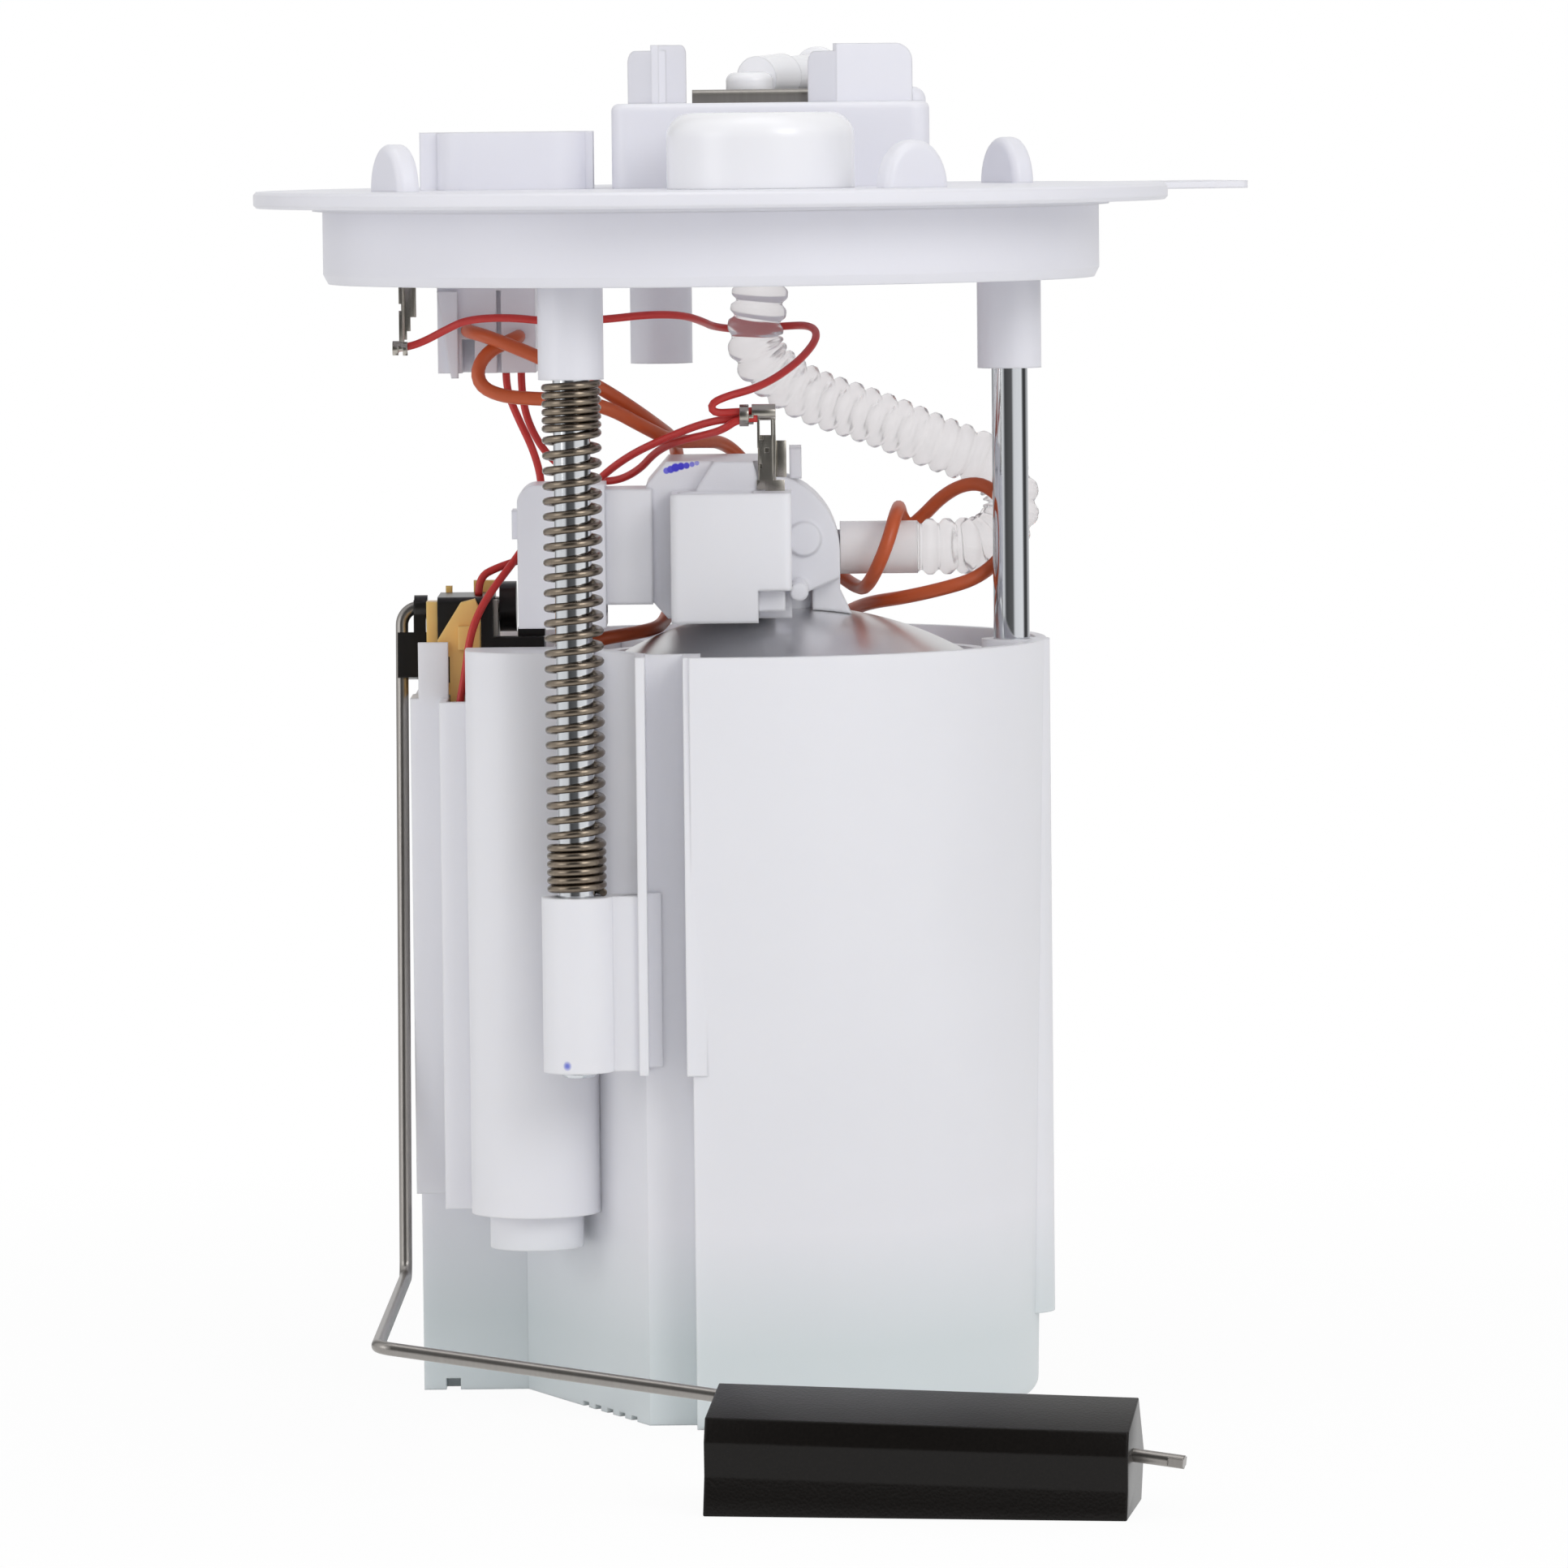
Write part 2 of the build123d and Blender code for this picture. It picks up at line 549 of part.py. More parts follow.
def make_outlet_nipple():
    """The outlet elbow: a short upright stub and a tube with a bead for a quick connector."""
    stub = post(STUB_DIA / 2, TOWER_TOP, STUB_TOP, NIPPLE_CENTRE)
    stub = fillet(stub.faces().sort_by(Axis.Z)[-1].edges(), 1.4)
    tube = disc(NIPPLE_DIA / 2, NIPPLE_LENGTH) + disc(NIPPLE_COLLAR_DIA / 2, NIPPLE_COLLAR)
    tube += fillet((Pos(0, 0, BEAD_PLACE) * disc(BEAD_DIA / 2, BEAD_WIDTH)).edges(), BEAD_EDGE)
    bore = Pos(0, 0, NIPPLE_COLLAR / 2) * disc(NIPPLE_BORE / 2, NIPPLE_LENGTH)
    return (stub + nipple_frame() * tube) - nipple_frame() * bore


def make_outlet_clip():
    """The metal retaining plate that lies on the tower and clears the ears and the outlet."""
    across = (LEFT_EAR_X + 5.4, SHOULDER_LEFT - 6.0)
    body = span(across, (EAR_CORNER_Y + 9.0, TOWER_BACK - 3), (TOWER_TOP, TOWER_TOP + CLIP_THICK))
    body = fillet(body.faces().sort_by(Axis.Z)[-1].edges().filter_by(Axis.X), 1.0)
    body -= post(STUB_DIA / 2 + 0.3, TOWER_TOP - 1, TOWER_TOP + CLIP_THICK + 1, NIPPLE_CENTRE)
    return body - nipple_frame() * disc(BEAD_DIA / 2 + 0.3, NIPPLE_LENGTH)


def crimp_terminal(x, y, low, high, width, thick, barrel, barrel_ends):
    """A flat metal terminal: a blade at low, a waisted neck and a crimp barrel along X at high."""
    half = width / 2
    waist = half * 0.55
    length = high - low
    neck = low + 0.55 * length
    shoulder = low + 0.45 * length
    top = high - copysign(barrel, length)
    outline = (
        (x - half, low), (x + half, low), (x + half, shoulder), (x + waist, neck), (x + waist, top),
        (x - waist, top), (x - waist, neck), (x - half, shoulder),
    )
    body = front_profile(outline, y - thick / 2, y + thick / 2)
    window = sorted((neck, top - copysign(barrel, length)))
    body -= span((x - waist * 0.4, x + waist * 0.4), (y - thick, y + thick), window)
    return body + shaft(barrel, barrel_ends[0], barrel_ends[1], y, top)


def make_spring():
    """The coil spring: close turns at both ends, open turns between, as a faceted wire."""
    low = LEFT_GUIDE_TOP
    high = -BOSS_DEPTH
    coil = (SPRING_DIA - SPRING_WIRE) / 2
    close_rise = SPRING_WIRE * 1.06
    open_rise = (high - low - SPRING_WIRE - 2 * SPRING_CLOSE_TURNS * close_rise) / SPRING_OPEN_TURNS
    turns = 2 * SPRING_CLOSE_TURNS + SPRING_OPEN_TURNS
    sections = []
    z = low + SPRING_WIRE / 2
    for step in range(turns * SPRING_STEPS + 1):
        angle = 2 * pi * step / SPRING_STEPS
        out = Vector(cos(angle), sin(angle), 0)
        along = Vector(-sin(angle), cos(angle), 0)
        place = Vector(LEFT_ROD[0], LEFT_ROD[1], z) + out * coil
        section = Plane(origin=place, x_dir=out, z_dir=along) * RegularPolygon(SPRING_WIRE / 2, SPRING_SIDES)
        sections.append(section)
        turn = step / SPRING_STEPS
        is_open = SPRING_CLOSE_TURNS <= turn < SPRING_CLOSE_TURNS + SPRING_OPEN_TURNS
        z += (open_rise if is_open else close_rise) / SPRING_STEPS
    return loft(sections, ruled=True)


def cord(name, route, diameter):
    """A round cord along straight runs joined by arcs as large as the runs allow."""
    points = [Vector(*point) for point in route]
    radii = []
    for before, corner, after in zip(points, points[1:], points[2:]):
        run_in, run_out = corner - before, after - corner
        half_turn = radians(run_in.get_angle(run_out)) / 2
        radii.append(ARC_SHARE * min(run_in.length, run_out.length) / tan(half_turn))
    path = FilletPolyline(*points, radius=radii)
    start = Plane(origin=path @ 0, z_dir=path % 0)
    tube = sweep(start * Circle(diameter / 2), path=path)
    share = tube.volume / (pi * diameter ** 2 / 4 * path.length)
    print(name, "length", round(path.length, 1), "tightest", round(min(radii), 1), "filled", round(share, 3))
    return tube


def chamber(shrink):
    """The chamber's tapered round body with the sender pocket, shrunk by a wall."""
    low = FOOT + (FLOOR_THICK if shrink else 0)
    high = RIM + (1 if shrink else 0)
    slope = (CHAMBER_TOP_DIA - CHAMBER_FOOT_DIA) / 2 / (RIM - FOOT)
    foot = CHAMBER_FOOT_DIA / 2 + slope * (low - FOOT) - shrink
    top = CHAMBER_FOOT_DIA / 2 + slope * (high - FOOT) - shrink
    align = (Align.CENTER, Align.CENTER, Align.MIN)
    body = Pos(CHAMBER_CENTRE[0], CHAMBER_CENTRE[1], low) * Cone(foot, top, high - low, align=align)
    if not shrink:
        body = fillet(body.faces().sort_by(Axis.Z)[0].edges(), FOOT_ROUND)
    body += span((POCKET_LEFT + shrink, -15.0), (POCKET_FRONT + shrink, POCKET_BACK - shrink), (low, high))
    outline = make_face(Polyline(*NOTCH_POINTS, close=True))
    if shrink:
        outline = offset(outline, shrink, kind=Kind.INTERSECTION)
    return body - Pos(0, 0, FOOT - 5) * extrude(outline, RIM - FOOT + 20)


def ring_arm(angle, side_gap, low, high):
    """One arm of the canister ring, cut to the chamber's inner wall with a gap."""
    arm = span((RING_DIA / 2 - 2, 90.0), around(0, RING_ARM_WIDTH / 2 + side_gap), (low, high))
    return at_pump(Rot(0, 0, angle) * arm)


def flap(low, high):
    """The thin flap that stands beside the sender."""
    return span((FLAP_LEFT, FLAP_RIGHT), (RAIL_FRONT, RAIL_FRONT + FLAP_THICK), (low, high))


def reservoir_outside():
    """What stands on the outside of the chamber at the sender and the left rod."""
    left = RISER_CENTRE[0] - RISER_DIA / 2
    parts = post(RISER_DIA / 2, RISER_END, RIM, RISER_CENTRE)
    parts += post(RISER_TIP_DIA / 2, RISER_TIP_END, RISER_END, RISER_CENTRE)
    parts += span((left, -26.0), (RISER_CENTRE[1], POCKET_FRONT + 1), (RISER_END, RIM))
    parts += span((-33.0, -22.0), (RISER_CENTRE[1] + 4, POCKET_FRONT + 1), (RISER_END, RIM))
    parts += span((RAIL_RIGHT, left), (RIDGE_FRONT, POCKET_FRONT + 1), (RISER_END, STEP_HEIGHT))
    parts += span((RAIL_LEFT, RAIL_RIGHT + 1), (RAIL_FRONT, POCKET_FRONT + 1), (RAIL_END, STEP_HEIGHT))
    parts += flap(STEP_HEIGHT - 2, RIM + 0.4)
    parts += span(NARROW_RIB, (RIB_FRONT, -34.0), (RIB_END, RIM))
    parts += span(WIDE_RIB, (RIB_FRONT - 1.5, -37.0), (RIB_END, RIM))
    guide = post(LEFT_GUIDE_DIA / 2, LEFT_GUIDE_END, LEFT_GUIDE_TOP, LEFT_ROD)
    height = (LEFT_GUIDE_END, LEFT_GUIDE_TOP)
    web = span((LEFT_ROD[0], NARROW_RIB[0] + 0.5), (LEFT_ROD[1] - 1.0, LEFT_ROD[1] + 1.2), height)
    brace = span((0, BRACE_LENGTH), (-1.1, 1.1), height)
    parts += guide + web + Pos(LEFT_ROD[0], LEFT_ROD[1], 0) * Rot(0, 0, BRACE_ANGLE) * brace
    return parts + post(CHANNEL_DIA / 2, CHANNEL_END, RIM, RIGHT_ROD)


def make_reservoir():
    """The reservoir moulding: chamber, sender bay, rod guides, ribs and pump cradle."""
    hollow = chamber(WALL)
    body = chamber(0) + (reservoir_outside() - hollow)
    body -= hollow
    across, deep = (SENDER_BAY_LEFT, SENDER_BAY_RIGHT), (SENDER_BAY_FRONT, POCKET_FRONT + WALL + 1)
    body -= span(across, deep, (SENDER_BAY_FLOOR, RIM + 1))
    step = span((-60.0, RISER_CENTRE[0] - RISER_DIA / 2), (-60.0, POCKET_BACK), (STEP_HEIGHT, RIM + 2))
    body -= step - flap(STEP_HEIGHT - 1, RIM + 2)
    body -= post(CHANNEL_BORE / 2, CHANNEL_END + WALL, RIGHT_GUIDE_END, RIGHT_ROD)
    body += post(RIGHT_GUIDE_DIA / 2, RIGHT_GUIDE_END, RIM, RIGHT_ROD)
    body -= post(ROD_DIA / 2 + ROD_CLEARANCE, LEFT_GUIDE_END - 1, LEFT_GUIDE_TOP + 1, LEFT_ROD)
    body -= post(ROD_DIA / 2 + ROD_CLEARANCE, RIGHT_GUIDE_END - 1, RIM + 1, RIGHT_ROD)
    sleeve = PUMP_DIA / 2 + ISOLATOR_THICK
    floor = FOOT + FLOOR_THICK
    body += ring(sleeve + CRADLE_WALL, sleeve, floor - 0.2, CRADLE_TOP, PUMP_AXIS)
    body += ring(sleeve + 0.2, STRAINER_DIA / 2 + 0.6, floor - 0.2, ISOLATOR_LOW, PUMP_AXIS)
    for turn in CRADLE_SLOTS:
        slot = span((10, 30), (-5, 5), (floor, ISOLATOR_LOW - 2))
        body -= at_pump(Rot(0, 0, turn) * slot)
    for angle in RING_ARMS:
        ledge = ring_arm(angle, 1.0, RING_TOP - RING_THICK - 3.0, RING_TOP - RING_THICK)
        body += (ledge & chamber(WALL / 2)) - post(CANISTER_DIA / 2 + 6.0, RIM - 20, RIM, PUMP_AXIS)
    body -= post(VALVE_PORT_DIA / 2, FOOT - 1, floor + 1, VALVE_CENTRE)
    for turn in range(0, 360, 60):
        hole = post(0.9, FOOT - 1, floor + 1, (VALVE_SEAT_DIA / 4 + 0.6, 0))
        body -= Pos(VALVE_CENTRE[0], VALVE_CENTRE[1], 0) * Rot(0, 0, turn) * hole
    slope = atan2(NOTCH_TURN[1] - NOTCH_START[1], NOTCH_TURN[0] - NOTCH_START[0])
    for index in range(SCALLOPS):
        along = SCALLOP_FIRST + index * SCALLOP_PITCH
        place = Pos(NOTCH_START[0] + along * cos(slope), NOTCH_START[1] + along * sin(slope), 0)
        cut = span((-SCALLOP_WIDTH / 2, SCALLOP_WIDTH / 2), (-4, 4), (FOOT - 1, FOOT + SCALLOP_HIGH))
        body -= place * Rot(0, 0, degrees(slope)) * cut
    body -= span((-46.6, -44.2), (POCKET_FRONT - 1, POCKET_FRONT + 4), (FOOT - 1, FOOT + 1.9))
    return body


def make_check_valve():
    """The rubber umbrella valve that lets fuel in through the reservoir's floor."""
    floor_top = FOOT + FLOOR_THICK
    stem = post(VALVE_PORT_DIA / 2, FOOT + 0.3, floor_top, VALVE_CENTRE)
    skirt = Cone(VALVE_SEAT_DIA / 2, 1.8, 2.2, align=(Align.CENTER, Align.CENTER, Align.MIN))
    return stem + Pos(VALVE_CENTRE[0], VALVE_CENTRE[1], floor_top) * skirt


def dome_section(radius, sphere, low, corner):
    """Half the section of a closed dome and its side, with a rounded shoulder."""
    centre = CANISTER_TOP - DOME_SPHERE
    side = Pos(0, low) * Rectangle(radius, CANISTER_TOP - low + 1, align=(Align.MIN, Align.MIN))
    section = side & Pos(0, centre) * Circle(sphere)
    shoulder = section.vertices().sort_by(Axis.X)[-2:].sort_by(Axis.Y)[-1]
    return fillet(shoulder, corner)


def make_canister():
    """The pressed steel canister: domed top, straight side and a rolled seam at its foot."""
    wall = CANISTER_WALL
    bore = CANISTER_DIA / 2 - wall
    section = dome_section(CANISTER_DIA / 2, DOME_SPHERE, CANISTER_END, SHOULDER_ROUND)
    seam = Rectangle(SEAM_DIA / 2 - bore, SEAM_HIGH, align=(Align.MIN, Align.MIN))
    section += Pos(bore, CANISTER_END) * seam
    inner = dome_section(bore, DOME_SPHERE - wall, CANISTER_END - 1, SHOULDER_ROUND - wall)
    port = Pos(0, CANISTER_TOP - 4) * Rectangle(PORT_DIA / 2 + SEAT_GAP, 8, align=(Align.MIN, Align.MIN))
    return at_pump(revolve(Plane.XZ * (section - inner - port), Axis.Z))


def make_canister_base():
    """The plate that closes the canister, with a sleeve that takes the pump's nipple."""
    body = post(CANISTER_DIA / 2 - CANISTER_WALL, CANISTER_END, CANISTER_END + 1.6)
    body += ring(PUMP_NIPPLE_DIA / 2 + 2.2, PUMP_NIPPLE_DIA / 2 + 0.1, CANISTER_END - 2.0, CANISTER_END + 6.0)
    body -= post(PUMP_NIPPLE_DIA / 2 + 0.1, CANISTER_END - 4, CANISTER_END + 10)
    return at_pump(body)


def make_filter_element():
    """The pleated paper ring inside the canister."""
    outer = ELEMENT_DIA / 2
    points = []
    for index in range(PLEATS * 2):
        angle = pi * index / PLEATS
        radius = outer - (index % 2) * PLEAT_DEEP
        points.append((radius * cos(angle), radius * sin(angle)))
    star = make_face(Polyline(*points, close=True))
    body = Pos(0, 0, ELEMENT_END) * extrude(star, ELEMENT_TOP - ELEMENT_END)
    body -= post(ELEMENT_BORE / 2, ELEMENT_END - 1, ELEMENT_TOP + 1)
    body += ring(outer, ELEMENT_BORE / 2, ELEMENT_END - 1.0, ELEMENT_END)
    return at_pump(body)


def make_canister_ring():
    """The white ring that centres the canister, with arms out to the chamber wall."""
    body = ring(RING_DIA / 2, CANISTER_DIA / 2 + 0.2, RING_TOP - RING_THICK, RING_TOP, PUMP_AXIS)
    inside = chamber(WALL + 0.2)
    for angle in RING_ARMS:
        body += (ring_arm(angle, 0.0, RING_TOP - RING_THICK, RING_TOP) & inside) - post(
            RING_DIA / 2 - 1, RING_TOP - 5, RING_TOP + 1, PUMP_AXIS)
    return body - post(RIGHT_GUIDE_DIA / 2 + 0.4, RING_TOP - 5, RING_TOP + 1, RIGHT_ROD)


def make_pump():
    """The electric pump: can, two end caps, two magnets, armature and impeller."""
    radius = PUMP_DIA / 2
    bore = radius - PUMP_WALL
    can_low = PUMP_END + INLET_CAP_HIGH
    can_high = PUMP_TOP - OUTLET_CAP_HIGH
    can = ring(radius, bore, can_low - 1.5, can_high + 1.5)
    outlet = post(bore, can_high, can_high + 1.5) + post(radius, can_high + 1.5, PUMP_TOP)
    outlet += post(PUMP_NIPPLE_DIA / 2, PUMP_TOP, CANISTER_END + 5.0)
    outlet += span((-22.7, -radius + 2), (-5.0, 5.0), (PUMP_TOP - 5.2, PUMP_TOP - 1.4))
    outlet -= post(SHAFT_DIA / 2 + ROD_CLEARANCE, can_high - 1, can_high + 4)
    inlet = post(bore, can_low - 1.5, can_low) + post(radius, PUMP_END, can_low - 1.5)
    cavity_low = PUMP_END + 2.6
    cavity_high = cavity_low + IMPELLER_THICK + 2 * AIR_GAP
    inlet -= post(IMPELLER_DIA / 2 + AIR_GAP, cavity_low, cavity_high)
    inlet -= post(SHAFT_DIA / 2 + ROD_CLEARANCE, cavity_high - 1, can_low + 1)
    inlet -= post(2.5, PUMP_END - 1, cavity_low + 1, (IMPELLER_DIA / 2 - 4, 0))
    magnets = ring(bore, bore - MAGNET_THICK, can_low + 4, can_high - 8)
    reach = PUMP_DIA
    spread = reach * tan(radians(MAGNET_GAP_ANGLE / 2))
    wedge = make_face(Polyline((0, 0), (reach, spread), (reach, -spread), close=True))
    for turn in (0, 180):
        magnets -= Rot(0, 0, turn) * Pos(0, 0, PUMP_END) * extrude(wedge, PUMP_TOP - PUMP_END)
    core = bore - MAGNET_THICK - AIR_GAP
    armature = post(core, can_low + 6, can_high - 16) + post(core * 0.55, can_high - 16, can_high - 3)
    for turn in range(0, 360, 60):
        armature -= Rot(0, 0, turn) * span((core - 3, core + 1), (-0.8, 0.8), (can_low, can_high - 16))
    armature += post(SHAFT_DIA / 2, cavity_low + AIR_GAP, can_high + 3.5)
    impeller = post(IMPELLER_DIA / 2, cavity_low + AIR_GAP, cavity_low + AIR_GAP + IMPELLER_THICK)
    rim = (IMPELLER_DIA / 2 - BLADE_DEEP, IMPELLER_DIA / 2 + 1)
    for index in range(IMPELLER_BLADES):
        cut = span(rim, around(0, BLADE_GAP / 2), (cavity_low, cavity_high))
        impeller -= Rot(0, 0, index * 360 / IMPELLER_BLADES) * cut
    impeller -= post(SHAFT_DIA / 2, cavity_low, cavity_high)
    return {
        "pump_can": at_pump(can),
        "pump_outlet_cap": at_pump(outlet),
        "pump_inlet_cap": at_pump(inlet),
        "pump_magnets": at_pump(magnets),
        "pump_armature": at_pump(armature),
        "pump_impeller": at_pump(impeller),
    }


def make_isolator():
    """The rubber sleeve that holds the pump in its cradle."""
    return ring(PUMP_DIA / 2 + ISOLATOR_THICK, PUMP_DIA / 2, ISOLATOR_LOW, ISOLATOR_HIGH, PUMP_AXIS)


def make_strainer():
    """The flat woven strainer under the pump's inlet."""
    low = FOOT + FLOOR_THICK + 0.2
    body = fillet(post(STRAINER_DIA / 2, low, low + STRAINER_HIGH).edges(), 2.0)
    body += post(3.4, low + STRAINER_HIGH - 0.5, PUMP_END, (IMPELLER_DIA / 2 - 4, 0))
    return at_pump(body)


def make_filter_head():
    """The white head on the dome: outlet housing, connector box, arch and regulator case."""
    corner = HEAD_CORNER
    housing = (
        (HEAD_LEFT, HEAD_TOP - corner - 0.5), (HEAD_LEFT + corner, HEAD_TOP), (10.0, HEAD_TOP),
        (10.0, HEAD_LOW), (HEAD_LEFT + corner, HEAD_LOW), (HEAD_LEFT, HEAD_LOW + corner + 0.5),
    )
    body = front_profile(housing, HEAD_FRONT, HEAD_BACK)
    arch_top = HEAD_RIGHT - ARCH_RADIUS
    arch_high = CUFF_Z + ARCH_RADIUS
    turn = CenterArc((arch_top, CUFF_Z), ARCH_RADIUS, 0, 90)
    foot = ((9.0, HEAD_LOW + 1), (HEAD_RIGHT, ARCH_LOW), (HEAD_RIGHT, CUFF_Z))
    rest = Polyline((arch_top, arch_high), (9.0, arch_high), *foot)
    body += front_profile(make_face(turn.edges() + rest.edges()), ARCH_FRONT, ARCH_BACK)
    body += span((12.6, 14.6), (ARCH_FRONT + 4, ARCH_BACK - 4), (CUFF_Z + ARCH_RADIUS - 1, -40.4))
    body += Pos(*HEAD_EYE) * Rot(90, 0, 0) * disc(2.8, 0.7)
    box = span((BOX_LEFT, BOX_RIGHT), (BOX_FRONT, HEAD_FRONT + 1), (BOX_LOW, BOX_TOP))
    box = fillet(box.edges().filter_by(Axis.Z).sort_by(Axis.Y)[:2], 1.2)
    box -= span((7.3, BOX_RIGHT + 1), (BOX_FRONT - 1, HEAD_FRONT), (BOX_LOW - 1, -62.7))
    well = (BOX_FRONT + BOX_WALL, HEAD_FRONT - 4.0)
    box -= span((BOX_LEFT + BOX_WALL, 6.6), well, (BOX_TOP - 3.0, BOX_TOP + 1))
    body += box
    gusset = ((-3.3, BOX_TOP - 0.5), (0.2, HEAD_TOP), (6.6, HEAD_TOP), (8.0, BOX_TOP - 0.5))
    body += front_profile(gusset, HEAD_FRONT - 3.6, HEAD_FRONT + 1)
    body += span((7.2, 11.7), (-29.0, HEAD_FRONT + 1), (-66.2, -62.6))
    body += Pos(*HEAD_ROD) * Rot(-90, 0, 0) * disc(1.5, 14.0)
    high = ARCH_LOW + 3
    strut = ((16.2, high), (HEAD_RIGHT, high), (HEAD_RIGHT, -64.0), (23.4, -69.5), (16.2, -69.5))
    body += front_profile(strut, -6.0, -2.4)
    body += shaft(BARB_DIA / 2, HEAD_RIGHT - 1, BARB_END, CUFF_Y, CUFF_Z)
    body += span((COVER_RIGHT, HEAD_LEFT + 1), (CASE_FRONT, COVER_BACK), (CASE_LOW, CASE_TOP))
    body -= shaft(REGULATOR_DIA / 2, COVER_RIGHT - 1, COVER_RIGHT + 6, REGULATOR_Y, REGULATOR_Z)
    # The sphere lies on its side, which keeps its poles out of the seat.
    dome = Rot(90, 0, 0) * Sphere(DOME_SPHERE + SEAT_GAP)
    body -= at_pump(Pos(0, 0, CANISTER_TOP - DOME_SPHERE) * dome)
    body += post(PORT_DIA / 2, -80.0, -60.0, PUMP_AXIS)
    body -= post(PORT_DIA / 2 - 1.4, -81.0, CUFF_Z + 1, PUMP_AXIS)
    body -= shaft(BARB_BORE / 2, PUMP_AXIS[0], BARB_END + 1, CUFF_Y, CUFF_Z)
    slot_x, slot_y = around(SPADE_X, SPADE_WIDTH / 2), around(SPADE_Y, SPADE_THICK / 2)
    return body - span(slot_x, slot_y, (BOX_TOP - SPADE_SEAT, BOX_TOP + 1))


def make_regulator_cover():
    """The hollow cover that keeps the pressure regulator in its case."""
    body = span((COVER_LEFT, COVER_RIGHT), (COVER_FRONT, COVER_BACK), (COVER_LOW, COVER_TOP))
    body = fillet(body.edges().filter_by(Axis.Y).sort_by(Axis.X)[:2].sort_by(Axis.Z)[-1:], 3.0)
    body += span((COVER_LEFT - 1.0, COVER_LEFT + 1), (COVER_FRONT + 4, COVER_BACK - 4), (-54.5, -49.8))
    deep, high = (COVER_FRONT + WALL, COVER_BACK - WALL), (COVER_LOW + WALL, COVER_TOP - WALL)
    return body - span((COVER_LEFT + WALL, COVER_RIGHT + 1), deep, high)


def make_regulator():
    """The steel pressure regulator, seated in the head and held by the cover."""
    body = shaft(REGULATOR_DIA / 2 - 0.1, COVER_RIGHT - 10.0, COVER_RIGHT + 6, REGULATOR_Y, REGULATOR_Z)
    return body + shaft(REGULATOR_DIA / 2 + 0.5, COVER_LEFT + WALL, COVER_RIGHT, REGULATOR_Y, REGULATOR_Z)


def make_cuff():
    """The plain cuff of the hose, pushed over the head's barb."""
    body = shaft(CUFF_DIA / 2, CUFF_START, CUFF_END, CUFF_Y, CUFF_Z)
    return body - shaft(BARB_DIA / 2 + 0.1, CUFF_START - 1, BARB_END + 0.5, CUFF_Y, CUFF_Z)


def arm_path():
    """The centre line of the float arm, bent from one wire."""
    pivot_end = Vector(ARM_END_X, PIVOT_Y, PIVOT_Z)
    corner = Vector(ARM_X, PIVOT_Y, PIVOT_Z)
    rest = [Vector(*point) for point in (ARM_KNEE, ARM_TURN, ARM_TIP)]
    return FilletPolyline(pivot_end, corner, *rest, radius=ARM_BEND)


def make_float_arm():
    """The float arm wire, with its end flattened to keep the float on."""
    path = arm_path()
    start = Plane(origin=path @ 0, z_dir=path % 0)
    body = sweep(start * Circle(ARM_WIRE / 2), path=path)
    tip = Plane(origin=ARM_TIP, z_dir=path % 1)
    return body + tip * Pos(0, 0, -1.2) * Box(2.9, 1.3, 2.4)


def make_float():
    """The foam float: a block with sloped shoulders and end notches, threaded on the wire."""
    turn, tip = Vector(*ARM_TURN), Vector(*ARM_TIP)
    along = (tip - turn).normalized()
    frame = Plane(origin=FLOAT_CORNER, x_dir=(0, -1, -0.08), z_dir=FLOAT_RUN)
    body = extrude(frame * make_face(Polyline(*FLOAT_SECTION, close=True)), FLOAT_LENGTH)
    notch = make_face(Polyline(*FLOAT_NOTCH, close=True))
    body -= extrude(frame * notch, NOTCH_LENGTH)
    body -= extrude(frame.offset(FLOAT_LENGTH - NOTCH_LENGTH) * notch, NOTCH_LENGTH)
    return body - Plane(origin=turn, z_dir=along) * disc(FLOAT_HOLE / 2, 160)


def make_sender_carrier():
    """The black sender housing, with the bore in which the float arm turns and a side block."""
    body = span((CARRIER_LEFT, CARRIER_RIGHT), (CARRIER_FRONT, CARRIER_BACK), (CARRIER_LOW, CARRIER_TOP))
    body = fillet(body.edges().filter_by(Axis.X).sort_by(Axis.Z)[-2:], 1.2)
    body += span((CARRIER_RIGHT - 1, BLOCK_RIGHT), (CARRIER_FRONT, CARRIER_FRONT + 3.5), (CARRIER_LOW, -71.5))
    body += span((HUB_RIGHT + 0.3, BLOCK_RIGHT), (CARRIER_FRONT, 9.0), (CARRIER_LOW, -73.0))
    stud = span((HUB_RIGHT + 0.3, BLOCK_RIGHT), (2.0, 8.0), (-74.0, -69.2))
    body += fillet(stud.edges().filter_by(Axis.Y).sort_by(Axis.Z)[-2:], 1.2)
    return body - shaft(ARM_WIRE / 2 + ROD_CLEARANCE, CARRIER_LEFT - 1, CARRIER_RIGHT + 1, PIVOT_Y, PIVOT_Z)


